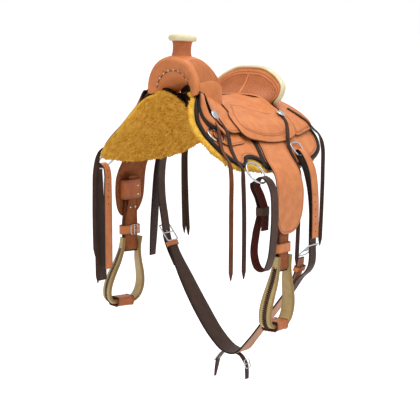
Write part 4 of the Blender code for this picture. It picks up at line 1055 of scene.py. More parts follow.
def make_cantle():
    share = np.linspace(0, 1, 84)
    front = dish(share, 0)
    out = grid_normals(front)
    if out[40, front.shape[1] // 2, 1] > 0:
        out = -out
    foot, rim = dish_columns(CANTLE_STEP)
    tall = np.linalg.norm(rim - foot, axis=1)[None, :]
    gap = np.linalg.norm(np.diff(front, axis=1, prepend=front[:, :1]), axis=2)
    s = np.cumsum(gap, axis=1)
    middle = s[:, s.shape[1] // 2][:, None]
    s = s - middle
    down = (1 - share[:, None]) * tall
    end = np.minimum(s - s[:, :1], s[:, -1:] - s)
    low_line = (share[:, None] - .13) * tall
    band = np.abs(s) - (.0032 + .0042 * (1 - share[:, None]))
    reach = np.minimum.reduce([down - .020, low_line, band, end - .014])
    border = np.minimum(down - .0115, end - .006)
    lines = np.exp(-(reach / .0012) ** 2)
    lines = np.maximum(lines, np.exp(-(border / .0012) ** 2) * (low_line > -.02))
    lines = np.maximum(lines, .8 * np.exp(-((low_line + .006) / .001) ** 2) * (end > .01))
    woven = basket(front[..., 0], front[..., 2] * 1.2, .0075, .0011)
    relief = woven * smooth_step(reach / .0025) * (reach > 0) - .0011 * lines
    grid = np.concatenate([front + out * relief[..., None], dish(share[::-1], .006)])
    zero = np.zeros_like(lines)
    groove = np.maximum(lines, smooth_step(-relief / .0006) * .8 * (reach > 0))
    shell("cantle_face", grid, [RUSSET, FLESH], "saddle", ["cantle_face"],
          groove=np.concatenate([groove, zero]), kinds=[0] * len(share) + [1] * len(share))
    far = np.linspace(1, 0, 40)
    back = dish(far, .0269, .0022)
    base = back[-1]
    feet = bed_height(base[:, 0], .2, BAR_TOP)
    legs = [np.column_stack([base[:, :2], base[:, 2] + (feet - base[:, 2]) * k])
            for k in np.linspace(.2, 1, 5)]
    outer = np.concatenate([back, np.array(legs)])
    inner = (outer - (0, .006, 0))[::-1]
    shell("cantle_back", np.concatenate([outer, inner]), [RUSSET], "saddle",
          ["cantle_back", "tree_cantle"])
    make_binding()


def make_binding():
    """Rawhide rolled over the cantle's rim and laced."""
    stack = .0266
    keys = []
    rim = [np.array(p) for p in CANTLE_RIM]
    for i, p in enumerate(rim):
        run = rim[min(i + 1, 6)] - rim[max(i - 1, 0)]
        out = np.array([-run[2], 0, run[0]])
        out /= np.linalg.norm(out)
        if out[2] < 0 and i < 3:
            out = -out
        size = .0275 if i < 6 else .020
        keys.append((*(p + (0, stack / 2, 0) + out * .0060), size))
    left = [(-x, y, z, w) for x, y, z, w in keys[:0:-1]]
    rows = curve_through(left + keys, .0025)
    n = len(rows)
    tip = np.minimum(np.arange(n), np.arange(n)[::-1]) / 5.0
    grow = np.sqrt(np.clip(tip, .12, 1))
    swept("cantle_binding", rows[:, :3], np.tile((0, 1, 0), (n, 1)), rows[:, 3] * grow,
          .0145 * grow, [RAWHIDE], "saddle", "rawhide", ["cantle_binding"], sides=20)
    run = directions(rows[:, :3])
    out = np.cross(run, (0, 1, 0))
    if out[n // 2, 2] < 0:
        out = -out
    for word, y in (("front", -.0118), ("rear", .0118)):
        line = rows[4:-4, :3] + (0, y, 0) - out[4:-4] * .0028
        face = np.tile((0, np.sign(y), 0), (len(line), 1)) - out[4:-4] * .2
        place, way, face = along_path(line, face, .0052)
        repeated(f"cantle_{word}_stitches", place, way, face, (.0036, .0012, .0012), THREAD,
                 "saddle")


# Skirts and rigging

SKIRT_LEATHER = [(2.6, -.200), (3.5, -.238), (4.8, -.272), (6.5, -.282), (8.2, -.277),
                 (9.4, -.258), (10.1, -.236), (10.4, -.215), (10.05, -.19), (9.45, -.168),
                 (9.3, -.13), (9.85, -.095), (10.5, -.08), (10.6, 0), (10.6, .10),
                 (10.35, .178), (9.8, .245), (9.1, .284), (8.15, .306), (7, .316), (5, .319),
                 (3, .319), (.9, .315), (.9, -.10), (1.5, -.185), (2.2, -.198)]
FLEECE_EDGE = [(2.6, -.215), (3.5, -.262), (4.8, -.296), (6.5, -.305), (8.2, -.298),
               (9.6, -.276), (10.25, -.250), (10.55, -.222), (10.65, -.17), (10.7, -.12),
               (10.7, 0), (10.7, .10), (10.5, .18), (9.95, .25), (9.2, .29), (8.2, .312), (7, .322),
               (5, .325), (3, .325), (.9, .32), (.9, -.10), (1.5, -.19), (2.2, -.213)]
RIG_FLAP = [(6.15, -.214), (6.3, -.240), (6.8, -.248), (7.5, -.238), (7.9, -.212), (7.8, -.17),
            (7.4, -.12), (6.2, -.12)]


def make_skirts():
    for word, side in SIDES:
        def wool(s, t):
            p = np.stack([s, t, np.full(len(s), side * .5)], 1)
            return .0034 * lumps(p, .021, 1) + .0018 * lumps(p, .009, 2)
        place = over_back(side)
        fleece = cut_sheet(f"{word}_sheepskin", flat_outline(FLEECE_EDGE), place,
                           lambda s, t: .0012 - wool(s, t), lambda s, t: FLEECE + 0 * s, [WOOL],
                           "saddle", [f"{word}_sheepskin"], cell=.0045, rim=.0055)
        mesh = fleece.data
        normals = np.array([v.normal for v in mesh.vertices])
        places = np.array([v.co for v in mesh.vertices])
        half = len(places) // 2
        chance = np.random.default_rng(11)
        shown = np.arange(half - 1, len(places))
        picked = shown[chance.random(len(shown)) < .55]
        jitter = chance.normal(0, .0017, (len(picked), 3))
        way = chance.normal(0, 1, (len(picked), 3))
        repeated(f"{word}_wool_locks", places[picked] + jitter - normals[picked] * .0006, way,
                 normals[picked] + chance.normal(0, .5, (len(picked), 3)),
                 (.0100, .0066, .0040), WOOL, "saddle", vary=.5)
        cut_sheet(f"{word}_skirt", flat_outline(SKIRT_LEATHER), place, FLEECE + .0003,
                  SKIRT_TOP, [RUSSET, FLESH], "saddle", [f"{word}_skirt"],
                  cell=.007, borders=[(.019, .0022, .0008)], rim=.0016)
        edge = curve_through(flat_outline(SKIRT_LEATHER), .004, closed=True, dims=2)
        middle = beside_inner(edge, .0055)
        path = place(middle[:, 0], middle[:, 1], np.full(len(middle), .0190))
        away = place(edge[:, 0], edge[:, 1], np.full(len(edge), .0190)) - path
        swept(f"{word}_skirt_edging", path, away, .0160, .0112, [BLACK_DYE_AND_SHADE], "saddle",
              "russet_leather", closed=True, corner=.0045, crown=.0006)
        cut_sheet(f"{word}_rig_flap", flat_outline(RIG_FLAP), place, SKIRT_TOP + .0004,
                  SKIRT_TOP + .0050, [RUSSET, FLESH], "saddle", cell=.007,
                  borders=[(.006, .002, .0007)], rim=.0013,
                  wobble=lambda s, t: .003 * smooth_step((-.21 - t) / .03))


# A black strip under the fender's front edge, painted shade of the gap between the fender and the
# skirt, as (u, y)
FENDER_SHADE_STRIP = [(6.4, -.063), (7.74, -.070), (8.8, -.080), (9.7, -.090), (10.3, -.096)]


def make_fender_shade_strips():
    for word, side in SIDES:
        path = curve_through([(*back_frame(u, y, .0222, side)[0],) for u, y in FENDER_SHADE_STRIP], .004)
        across = np.tile((0, 1, 0), (len(path), 1))
        swept(f"{word}_fender_shade_strip", path, across, .019, .0030, [BLACK_DYE_AND_SHADE], "saddle",
              "russet_leather")


def beside_inner(edge, shift):
    """Each point of a closed flat loop moved into it by shift."""
    run = directions(edge, True)
    x, y = edge[:, 0], edge[:, 1]
    turn = np.sign((x * np.roll(y, -1) - y * np.roll(x, -1)).sum())
    return edge + np.stack([-run[:, 1], run[:, 0]], 1) * shift * turn


def metal_ring(name, centre, out, radius, thick, body, nodes):
    turn = Vector(out).to_track_quat("Z", "Y").to_matrix()
    points = [Vector(centre) + turn @ Vector((radius * cos(a), radius * sin(a), 0))
              for a in np.arange(48) * tau / 48]
    return round_bar(name, [tuple(p) for p in points], thick, CHROME, body, "bright_metal", nodes,
                     closed=True)


def make_rigging():
    for word, side in SIDES:
        centre, out = back_frame(11.3, -.184, .0262, side)
        metal_ring(f"{word}_cinch_ring", centre, out, .042, .0037, "saddle",
                   [f"{word}_cinch_ring"])
        upper, lower = Vector((side * .262, .137, -.036)), Vector((side * .296, .137, -.074))
        down = (lower - upper).normalized()
        frame = axes_at((upper + lower) / 2, (0, 1, 0), -down)
        half = (lower - upper).length / 2
        points = [tuple(frame @ Vector((x, y, 0))) for x, y in round_box(.028, half, .012, 5)]
        round_bar(f"{word}_rear_dee", points, .0031, CHROME, "saddle", "bright_metal",
                  [f"{word}_rear_dee"], closed=True)
    centre, out = back_frame(6.6, -.236, .0245, 1)
    metal_ring("near_breast_ring", centre, out, .030, .0032, "saddle", ["near_breast_ring"])


CONCHOS = {"front": (4.8, -.2005, .0474), "rear": (4.95, .162, .0568)}


def make_conchos():
    profile = [(.0168, 0), (.0172, .0008), (.0165, .0016), (.0140, .0021), (.0120, .0030),
               (.0095, .0040), (.0060, .0045), (.0035, .0050), (.0012, .0052)]
    for word, side in SIDES:
        for end, (u, y, lift) in CONCHOS.items():
            here, out = back_frame(u, y, lift, side)
            turned(f"{word}_{end}_concho", profile, here, out, CHROME, "saddle",
                   [f"{word}_{end}_concho"], steps=96,
                   ripple=lambda r, a: (.05 * cos(16 * a) if r > .0135 else
                                           .03 * cos(8 * a) if r > .007 else 0))


# Stirrup leathers and stirrups, drawn on the near side and turned about the bolt on the off side

LEATHER_X, BOLT_Y, BOLT_Z = 0.333, -0.043, -0.442
STIRRUP_LEAN = radians(11)
HOBBLE_HALF, HOBBLE_Z = 0.0124, -0.374
OFF_TURN = 18
FLAP = [(.302, -.088), (.323, -.112), (.337, -.138), (.3435, -.158), (.3485, -.185),
        (.350, -.220), (.350, -.280), (.350, -.345)]
# The fender cut flat: distance down it from under the seat, and y
FENDER = [(.012, -.050), (.050, -.052), (.085, -.060), (.130, -.078), (.160, -.083),
          (.185, -.088), (.235, -.100), (.290, -.100), (.325, -.088), (.342, -.066),
          (.342, .002), (.328, .030), (.296, .056), (.235, .067), (.180, .067), (.150, .070),
          (.120, .076), (.070, .086), (.012, .088)]
STIRRUP_SHAPE = [(.0365, .040, .028), (.0355, .000, .032), (.0440, -.045, .041),
                 (.0610, -.095, .048), (.0690, -.130, .050), (.0690, -.158, .050),
                 (.0600, -.183, .050), (.0420, -.197, .050), (.0210, -.198, .050),
                 (0, -.198, .050)]


def stand_upright(points, side, turn):
    """Keys near the stirrup bolt, turned about the upright line through it."""
    out = []
    for p in points:
        x, y = p[0] - LEATHER_X, p[1] - BOLT_Y
        c, s = cos(radians(turn)), sin(radians(turn))
        out.append((side * (LEATHER_X + x * c - y * s), BOLT_Y + x * s + y * c, *p[2:]))
    return out


def stirrup_point(p, q, x=0.0):
    """A point of the hanging stirrup: p along its bolt, q up from it, x across the band."""
    return (LEATHER_X + x, BOLT_Y + p + q * sin(STIRRUP_LEAN), BOLT_Z + q * cos(STIRRUP_LEAN))


def fender_place(side):
    """The fender's surface: from the bars down over the skirt's edge, then hanging."""
    ys = np.linspace(-.12, .11, 24)
    lines = []
    for y in ys:
        top = [tuple(on_back(u, y, FENDER_LOW + FENDER_THICK / 2)[[0, 2]])
               for u in (5.6, 6.2, 7, 8, 9)]
        rows = curve_through([(x, z, 0) for x, z in top + FLAP], .004)[:, :2]
        far = lengths_along(rows)
        at = np.linspace(0, far[-1], 200)
        lines.append(np.stack([np.interp(at, far, rows[:, k]) for k in (0, 1)], 1))
    table = np.array(lines)
    run = np.gradient(table, axis=1)
    run /= np.linalg.norm(run, axis=2)[..., None]
    both = np.concatenate([table, np.stack([-run[..., 1], run[..., 0]], 2)], 2)

    def place(s, t, lift):
        a = np.clip(s / .36 * 199, 0, 198.999)
        b = np.clip((t - ys[0]) / (ys[1] - ys[0]), 0, 22.999)
        i, j = a.astype(int), b.astype(int)
        fa, fb = (a - i)[:, None], (b - j)[:, None]
        v = ((both[j, i] * (1 - fa) + both[j, i + 1] * fa) * (1 - fb)
             + (both[j + 1, i] * (1 - fa) + both[j + 1, i + 1] * fa) * fb)
        return np.stack([side * (v[:, 0] + v[:, 2] * lift), t, v[:, 1] + v[:, 3] * lift], 1)
    return place


def make_leathers(word, side, turn):
    body = f"{word}_leathers"
    half = FENDER_THICK / 2
    fender = cut_sheet(f"{word}_fender", FENDER, fender_place(side), -half, half,
                       [RUSSET, FLESH], None,
                       [f"{word}_fender", f"{word}_fender_top"], cell=.007,
                       borders=[(.007, .0022, .0008)], rim=.0013)
    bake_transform(fender)

    def place(points, angle=turn):
        return stand_upright(points, side, angle)
    gap = .0075
    x_in, x_out = LEATHER_X - gap, LEATHER_X + gap
    legs = [(x_in, -.030, -.175, 0), (x_in, -.038, -.29, 0), (x_in, BOLT_Y, -.352, 1),
            (x_in, BOLT_Y, -.42, 1)]
    bend = [(LEATHER_X - .0085 * cos(a), BOLT_Y, BOLT_Z - .0085 * sin(a), 1)
            for a in [pi * i / 4 for i in range(5)]]
    back = [(x_out, BOLT_Y, -.42, 1), (x_out, BOLT_Y, -.352, 1), (x_out, -.038, -.29, 0),
            (x_out, -.034, -.240, 0)]
    keys, across = [], []
    for x, y, z, twisted in legs + bend + back:
        angle = turn * twisted
        keys.append((*place([(x, y, z)], angle)[0], .056))
        across.append((-side * sin(radians(angle)), cos(radians(angle)), 0))
    strap(f"{word}_stirrup_leather", keys, across, .0042, [SHADED, FLESH][::side], body,
          "russet_leather", [f"{word}_stirrup_leather"], step=.005)
    for piece, half_x, half_y, y, z, height, angle, mat, slot in (
            ("sleeve", .0132, .0445, -.036, -.226, .072, 0, SHADED, "shaded_leather"),
            ("hobble_strap", HOBBLE_HALF, .0380, BOLT_Y, HOBBLE_Z, .034, turn, RUSSET,
             "russet_leather")):
        loop = [(LEATHER_X + dx, y + dy, z) for dx, dy in round_box(half_x, half_y, .006, 5)]
        points = place(loop, angle)
        strap(f"{word}_{piece}", [(*p, height) for p in points], (0, 0, 1), .0032, [mat], body,
              slot, [f"{word}_{piece}"], step=.003, closed=True)
    # Riveted studs where the leathers are joined, seen on the inner face
    studs, outs = [], []
    for dy, dz, x, angle in ((.024, -.214, -.0155, 0), (.024, -.246, -.0155, 0),
                             (.012, -.292, -.0105, turn * .4), (-.012, -.292, -.0105, turn * .4)):
        p = place([(LEATHER_X + x, -.036 + dy, dz)], angle)[0]
        studs.append(p)
        outs.append((-side, 0, 0))
    repeated(f"{word}_leather_studs", studs, (0, 1, 0), outs, (.0085, .0085, .004), NICKEL, body,
             detail=2)
    # The buckle lies on the strap's outside: half its leather and its own wire away
    x = LEATHER_X - HOBBLE_HALF - .0016 - .0022
    middle = place([(x, BOLT_Y + .010, HOBBLE_Z)])[0]
    right = (-side * sin(radians(turn)), cos(radians(turn)), 0)
    buckle(f"{word}_hobble_buckle", middle, right, (0, 0, 1), .0150, .0175, .0019, body,
           [f"{word}_hobble_buckle"])


def buckle(name, middle, right, up, half_x, half_y, thick, body, nodes=()):
    """A bent-wire buckle: its frame, its centre bar and its tongue."""
    frame = axes_at(middle, right, up)
    outline = [tuple(frame @ Vector((x, y, 0))) for x, y in round_box(half_x, half_y, .006, 6)]
    parts = [round_bar(name + "_frame", outline, thick, CHROME, None, "bright_metal",
                       closed=True)]
    bar = [tuple(frame @ Vector((0, y, 0))) for y in (-half_y, 0, half_y)]
    parts.append(round_bar(name + "_bar", bar, thick * .9, CHROME, None, "bright_metal"))
    tongue = [tuple(frame @ Vector(p)) for p in ((-thick, 0, -thick * .6), (0, 0, thick * 1.5),
                                                 (half_x * .5, 0, thick * 1.4),
                                                 (half_x * 1.02, 0, thick * 1.3))]
    parts.append(round_bar(name + "_tongue", tongue, thick * .8, CHROME, None, "bright_metal"))
    return joined(name, parts, body, nodes)


def make_stirrup(word, side, turn):
    body = f"{word}_stirrup_set"

    def place(points):
        return stand_upright(points, side, turn)
    bolt_line = (-side * sin(radians(turn)), cos(radians(turn)), 0)
    across = np.array((side * cos(radians(turn)), sin(radians(turn)), 0))
    shape = STIRRUP_SHAPE + [(-p, q, w) for p, q, w in STIRRUP_SHAPE[-2::-1]]
    keys = place([(*stirrup_point(p, q), w) for p, q, w in shape])
    rows = curve_through(keys, .003)
    n = len(rows)
    swept(f"{word}_stirrup", rows[:, :3], np.tile(across, (n, 1)), rows[:, 3], .0108,
          [STIRRUP_RAWHIDE], body, "stirrup_rawhide", [f"{word}_stirrup"], corner=.0042,
          crown=.0016)
    # Dark lace braided down the middle of the band's outer face
    run = directions(rows[:, :3])
    out = np.cross(run, across)
    centre = np.array(place([stirrup_point(0, -.1)])[0])
    if (out[n // 4] * (rows[n // 4, :3] - centre)).sum() < 0:
        out = -out
    for end, part in (("front", slice(n - n // 2 + 12, n - 14)), ("rear", slice(14, n // 2 - 12))):
        line = rows[part, :3] + out[part] * .0066
        for turn_sign, what in ((1, "up"), (-1, "down")):
            spot, way, face = along_path(line, out[part], .0075)
            cross = np.cross(face, way)
            lay = way * .55 + cross * turn_sign
            spot = spot + cross * turn_sign * .0001 + way * (.0013 * turn_sign)
            repeated(f"{word}_{end}_lace_{what}", spot, lay, face, (.0225, .0050, .0036), STRING,
                     body)
    ends = place([stirrup_point(p, 0) for p in (-.0430, -.0400, .0400, .0430)])
    round_bar(f"{word}_stirrup_bolt", ends, .0054, CHROME, body, "bright_metal", sides=16)
    # The black roll of the leather round the bolt, and its doubled ends above
    roll = [(*p, .0106) for p in place([(LEATHER_X, BOLT_Y, BOLT_Z + z)
                                       for z in (-.0135, -.010, .010, .030, .042)])]
    strap(f"{word}_bolt_roll", roll, tuple(across), .0625, [BLACK_DYE_AND_SHADE], body, "russet_leather",
          corner=.0065)
    low = STIRRUP_SHAPE[-1][1]
    loop = [stirrup_point(0, low + dz, dx) for dx, dz in round_box(.0305, .0150, .010, 6)]
    strap(f"{word}_tread", [(*p, .068) for p in place(loop)], bolt_line, .0030, [SHADED], body,
          "russet_leather", [f"{word}_tread"], step=.003, closed=True)
    lace, ways, faces = [], [], []
    for end in (-1, 1):
        for k in range(9):
            for face in (-1, 1):
                x = -.024 + .006 * k
                at = place([stirrup_point(end * .0318, low + face * .0166, x)])[0]
                lace.append(at)
                ways.append(np.array(bolt_line) + across * .5 * (-1) ** k)
                faces.append((0, sin(STIRRUP_LEAN) * face, cos(STIRRUP_LEAN) * face))
    repeated(f"{word}_tread_lace", lace, ways, faces, (.0095, .0034, .0026), STRING, body)


# Straps of the rigging

NEAR_REAR_BILLET = [(.352, -.365, .044), (.353, -.300, .044), (.350, -.200, .044),
                    (.338, -.125, .044), (.315, -.080, .042), (.3005, -.0625, .042),
                    (.2895, -.0570, .042), (.2835, -.0665, .042), (.2895, -.0798, .042),
                    (.3045, -.1020, .042), (.3200, -.135, .044), (.336, -.200, .044),
                    (.343, -.270, .044), (.343, -.340, .044), (.343, -.399, .044),
                    (.344, -.430, .044), (.340, -.460, .044), (.326, -.485, .044),
                    (.298, -.510, .044), (.2690, -.5505, .044), (.2505, -.5780, .042)]
OFF_REAR_BILLET = [(.369, -.500, .034), (.362, -.400, .044), (.352, -.270, .044),
                   (.340, -.165, .044), (.322, -.095, .044), (.3045, -.0660, .042),
                   (.2895, -.0570, .042), (.2835, -.0665, .042), (.2895, -.0798, .042),
                   (.3045, -.1020, .042), (.3175, -.135, .044), (.325, -.200, .044),
                   (.322, -.280, .044), (.312, -.340, .044), (.3040, -.3880, .044),
                   (.2990, -.4230, .044), (.2800, -.4700, .044), (.2500, -.5250, .042)]
FLANK_CINCH = [(-.2755, -.4350, .046), (-.262, -.475, .052), (-.205, -.575, .078),
               (-.140, -.675, .090), (-.070, -.765, .090), (-.010, -.812, .090),
               (.040, -.815, .085), (.090, -.765, .070), (.150, -.690, .062),
               (.210, -.615, .058), (.260, -.545, .052), (.286, -.490, .048),
               (.2942, -.4400, .046)]
CONNECTOR = [(.020, -.8222, .024), (.039, -.829, .022), (.053, -.843, .022),
             (.0645, -.862, .022), (.0675, -.890, .022), (.0675, -.915, .020)]
CENTRE_STRAP = [(-.030, -.820, .030), (-.046, -.835, .028), (-.060, -.853, .026),
                (-.068, -.885, .022), (-.076, -.925, .010)]
OFF_BILLET = [(.322, -.178, -.500, .042), (.322, -.178, -.300, .042), (.322, -.178, -.200, .040),
              (.3205, -.180, -.155, .036), (.3275, -.180, -.131, .034), (.345, -.180, -.119, .034),
              (.359, -.180, -.135, .036), (.361, -.178, -.200, .040), (.356, -.177, -.350, .042),
              (.350, -.178, -.545, .042)]
LATIGO_RUN = [(.342, -.161, -.300, .040), (.342, -.160, -.235, .040), (.330, -.166, -.185, .038),
              (.3230, -.178, -.152, .034), (.3275, -.181, -.131, .034),
              (.345, -.180, -.118, .034), (.363, -.171, -.130, .036), (.373, -.157, -.165, .040),
              (.374, -.149, -.240, .042), (.373, -.155, -.330, .042), (.368, -.163, -.395, .042),
              (.350, -.168, -.434, .042), (.322, -.168, -.428, .042), (.303, -.165, -.385, .042),
              (.308, -.161, -.310, .042), (.323, -.158, -.235, .040), (.316, -.160, -.195, .040),
              (.302, -.165, -.160, .040), (.303, -.171, -.137, .040)]
ACROSS = (0, 1, 0)


def in_plane(keys, side=1):
    """Keys of a strap that hangs in the flank cinch's upright plane."""
    return [(side * x, .137, z, w) for x, z, w in keys]


def strap_face(path):
    """The direction out of a strap's face at each place."""
    out = np.cross(np.gradient(path, axis=0), ACROSS)
    return out / np.linalg.norm(out, axis=1)[:, None]


def holes(name, keys, first, last, pitch, lift, body):
    """Punched holes along the middle of a strap, on both its faces, drawn as flat black discs: painted
    shade for the holes' depth.
    """
    path = curve_through([k[:3] for k in keys], .003)[first:last]
    out = strap_face(path)
    places, faces = [], []
    for sign in (1, -1):
        place, _, face = along_path(path + out * lift * sign, out * sign, pitch)
        places.append(place)
        faces.append(face)
    repeated(name, np.concatenate(places), ACROSS, np.concatenate(faces), (.005, .005, .0012),
             BLACK_DYE_AND_SHADE, body, detail=2)


def make_flank_rig():
    body = "flank_rig"
    strap("near_rear_billet", in_plane(NEAR_REAR_BILLET), ACROSS, .0045, [STRING, RUSSET], body,
          "russet_leather", ["near_rear_billet"])
    strap("off_rear_billet", in_plane(OFF_REAR_BILLET, -1), ACROSS, .0042, [CHOCOLATE, LATIGO],
          body, "latigo_leather", ["off_rear_billet"])
    cinch = in_plane(FLANK_CINCH)
    strap("flank_cinch", cinch, ACROSS, .0062, [CHOCOLATE, LINING], body, "latigo_leather",
          ["flank_cinch"])
    rows = curve_through(cinch, .004)
    out = strap_face(rows[:, :3])
    low = -np.sign(out[len(out) // 2, 2]) * out
    for word, sign in (("front", -1), ("rear", 1)):
        line = rows[3:-3, :3] + low[3:-3] * .0033
        line[:, 1] += sign * (rows[3:-3, 3] / 2 - .005)
        place, way, face = along_path(line, low[3:-3], .0055)
        repeated(f"cinch_{word}_stitches", place, way, face, (.0038, .0012, .0012), THREAD, body)
    buckle("near_flank_buckle", (.3240, .137, -.410), (.76, 0, .65), ACROSS, .034, .030, .0026,
           body, ["near_flank_buckle"])
    buckle("off_flank_buckle", (-.2920, .137, -.406), (-.62, 0, .78), ACROSS, .034, .030, .0026,
           body, ["off_flank_buckle"])
    # Tan keepers beside the buckles
    for word, x, z, lean, half in (("near", .2905, -.478, (.30, 0, .95), .027),
                                   ("off", -.2735, -.446, (-.45, 0, .89), .027)):
        frame = axes_at((x, .137, z), (0, 1, 0), np.cross(lean, (0, 1, 0)))
        loop = [tuple(frame @ Vector((a, b, 0))) for a, b in round_box(half, .0088, .005, 5)]
        strap(f"{word}_flank_keeper", [(*p, .019) for p in loop], lean, .0026, [RUSSET], body,
              "russet_leather", step=.003, closed=True)
    strap("centre_strap", in_plane(CENTRE_STRAP), ACROSS, .0042, [LATIGO], body,
          "latigo_leather", ["centre_strap"])
    buckle("centre_buckle", (-.0560, .137, -.8465), (-.62, 0, -.78), ACROSS, .019, .0190, .0021,
           body)
    strap("connector_strap", in_plane(CONNECTOR), ACROSS, .0042, [LATIGO], "connector",
          "latigo_leather", ["connector_strap"])
    buckle("connector_buckle", (.0690, .137, -.858), (.25, 0, -.97), ACROSS, .0155, .0160, .0020,
           "connector", ["connector_buckle"])
    holes("near_billet_holes", in_plane(NEAR_REAR_BILLET), 4, 60, .026, .0024, body)
    holes("off_billet_tail_holes", in_plane(OFF_REAR_BILLET, -1), 6, 70, .026, .0024, body)


def make_latigos():
    strap("latigo", LATIGO_RUN, ACROSS, .0040, [CHOCOLATE, LATIGO_INNER], "latigo",
          "latigo_leather", ["latigo"])
    x, y, z = .3325, -.160, -.235
    loop = [(x + dx, y + dy, z) for dx, dy in round_box(.0130, .0225, .005, 5)]
    strap("latigo_keeper", [(*p, .028) for p in loop], (0, 0, 1), .0027, [CHOCOLATE], "latigo",
          "latigo_leather", step=.003, closed=True)
    holes("latigo_holes", LATIGO_RUN, 70, 128, .024, .0021, "latigo")
    strap("off_billet", [(-x, y, z, w) for x, y, z, w in OFF_BILLET], ACROSS, .0042,
          [CHOCOLATE, RUSSET], "off_billet", "latigo_leather", ["off_billet"])
    holes("off_billet_holes", [(-x, y, z, w) for x, y, z, w in OFF_BILLET], 74, 132, .024,
          .0022, "off_billet")


# Saddle strings, each as (side, first tail, over the leather as (u, y, height), second tail)
LACE_TOP = .0445
STRINGS = {
    "near_front_string": (
        1,
        [(.297, -.293, -.455), (.298, -.293, -.330), (.2985, -.293, -.200),
         (.2965, -.290, -.110)],
        [(9.8, -.284, .0240), (9, -.276, .0230), (8, -.262, .0260), (7, -.241, .0360),
         (6, -.221, LACE_TOP), (5.2, -.2095, LACE_TOP), (4.8, -.2065, LACE_TOP),
         (4.62, -.2005, LACE_TOP), (4.8, -.1945, LACE_TOP), (5.2, -.1925, LACE_TOP),
         (6, -.1925, LACE_TOP), (7, -.199, .0400), (8, -.213, .0280), (9, -.2275, .0230),
         (10, -.239, .0230), (10.7, -.243, .0245)],
        [(.3125, -.244, -.135), (.316, -.244, -.240), (.316, -.244, -.360),
         (.314, -.243, -.455)]),
    "off_front_string": (
        -1,
        [(.318, -.243, -.543), (.320, -.243, -.400), (.3195, -.243, -.250),
         (.3145, -.243, -.140)],
        [(10.7, -.2425, .0250), (10, -.239, .0235), (9, -.2275, .0230), (8, -.213, .0280),
         (7, -.199, .0400), (6, -.1925, LACE_TOP), (5.2, -.1925, LACE_TOP),
         (4.8, -.1945, LACE_TOP), (4.62, -.2005, LACE_TOP), (4.8, -.2065, LACE_TOP),
         (5.2, -.2085, LACE_TOP), (6, -.214, LACE_TOP), (7, -.226, .0400), (8, -.239, .0280),
         (9, -.250, .0250), (10, -.2575, .0265)],
        [(.308, -.262, -.130), (.313, -.262, -.220), (.314, -.262, -.330),
         (.312, -.262, -.442)]),
    "near_rear_string": (
        1,
        [],
        [(4.8, .162, .0522), (5.4, .158, .0515), (6, .150, .0505), (7, .124, .0450),
         (7.7, .104, .0398), (8.3, .0985, .0300), (9, .0975, .0236), (10, .096, .0230),
         (10.9, .0925, .0240)],
        [(.3180, .0900, -.150), (.3215, .0830, -.220), (.319, .0805, -.340),
         (.314, .0800, -.460)]),
    "near_back_string": (
        1,
        [],
        [(4, .262, .0450), (5, .272, .0450), (6, .286, .0450), (7, .302, .0370),
         (7.6, .322, .0300)],
        [(.2555, .340, -.065), (.257, .341, -.150), (.255, .339, -.280), (.250, .337, -.430)]),
    "off_rear_string": (
        -1,
        [(.300, .272, -.437), (.306, .270, -.300), (.3080, .268, -.180), (.3055, .266, -.118)],
        [(10, .262, .0232), (9, .250, .0232), (8, .232, .0270), (7, .210, .0380),
         (6, .188, .0500), (5.4, .1735, .0532), (5.05, .170, .0535), (4.85, .1665, .0535),
         (4.78, .162, .0535), (4.85, .1575, .0535), (5.05, .154, .0535), (5.4, .1545, .0532),
         (6, .158, .0515), (7, .172, .0450), (8, .206, .0310), (9, .231, .0232),
         (10, .246, .0232)],
        [(.3055, .2495, -.118), (.3085, .251, -.180), (.308, .252, -.300),
         (.303, .250, -.425)]),
}
STRING_WIDE, STRING_THICK = .0145, .0032


def string_tail(name, keys, outs, mat, node):
    """One tail of a saddle string from its concho to its pointed tip."""
    rows = curve_through([(*k, *o) for k, o in zip(keys, outs)], .004)
    path, out = rows[:, :3], rows[:, 3:]
    run = directions(path)
    across = np.cross(out, run)
    long = lengths_along(path)
    left = long[-1] - long
    wide = STRING_WIDE * np.clip(.25 + left / .035, 0, 1)
    obj = swept(name, path, across, wide, STRING_THICK, [mat], "saddle", "lace_leather", [node])


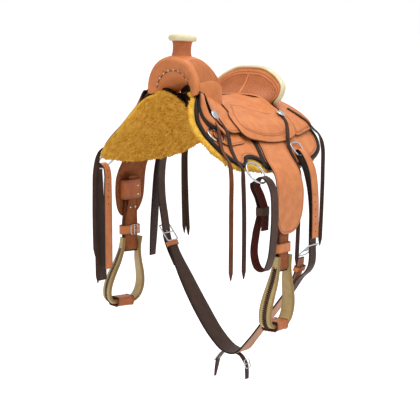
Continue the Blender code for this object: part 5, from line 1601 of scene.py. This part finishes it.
def make_strings():
    for name, (side, first, over, second) in STRINGS.items():
        keys = [np.array((side * x, y, z)) for x, y, z in first]
        hang = side * np.array((.66, -.75, 0))
        outs = [hang] * len(first)
        for u, y, lift in over:
            here, out = back_frame(u, y, lift, side)
            keys.append(here)
            outs.append(out)
        keys += [np.array((side * x, y, z)) for x, y, z in second]
        outs += [hang] * len(second)
        mat = ROUGH_STRING if name == "near_front_string" else STRING
        if first:
            turn = len(first) + min(range(len(over)), key=lambda i: over[i][0])
            string_tail(name + "_first", keys[turn::-1], outs[turn::-1], mat, name)
            string_tail(name + "_second", keys[turn:], outs[turn:], STRING, name)
        else:
            string_tail(name + "_tail", keys, outs, mat, name)


def make_floor():
    """A pale floor under the saddle that keeps its shadow."""
    mesh = bpy.data.meshes.new("floor")
    mesh.from_pydata([(-40, -40, 0), (40, -40, 0), (40, 40, 0), (-40, 40, 0)], [], [(0, 1, 2, 3)])
    floor = bpy.data.objects.new("floor", mesh)
    bpy.context.scene.collection.objects.link(floor)
    floor.location.z = -1.02
    mat, tree, shader = new_material("matt_white_studio_floor", Roughness=0.9)
    shader.inputs["Base Color"].default_value = linear("#F4F4F4")
    path = add_node(tree, "ShaderNodeLightPath")
    seen = add_node(tree, "ShaderNodeMath", {0: path.outputs["Is Camera Ray"],
                                             1: path.outputs["Is Glossy Ray"]}, operation="MAXIMUM")
    seen = add_node(tree, "ShaderNodeMath", {0: seen.outputs[0],
                                             1: path.outputs["Is Transmission Ray"]},
                    operation="MAXIMUM")
    glow = add_node(tree, "ShaderNodeMath", {0: seen.outputs[0], 1: 0.75}, operation="MULTIPLY")
    shader.inputs["Emission Color"].default_value = (1, 1, 1, 1)
    tree.links.new(glow.outputs[0], shader.inputs["Emission Strength"])
    mesh.materials.append(mat)


def main():
    camera_and_light()
    make_strings()
    make_floor()
    make_fork()
    make_gullet_shade_sheet()
    make_horn()
    make_seat()
    make_cantle()
    make_skirts()
    make_fender_shade_strips()
    make_rigging()
    make_conchos()
    for word, side, turn in (("near", 1, 0), ("off", -1, OFF_TURN)):
        make_leathers(word, side, turn)
        make_stirrup(word, side, turn)
    make_flank_rig()
    make_latigos()


main()
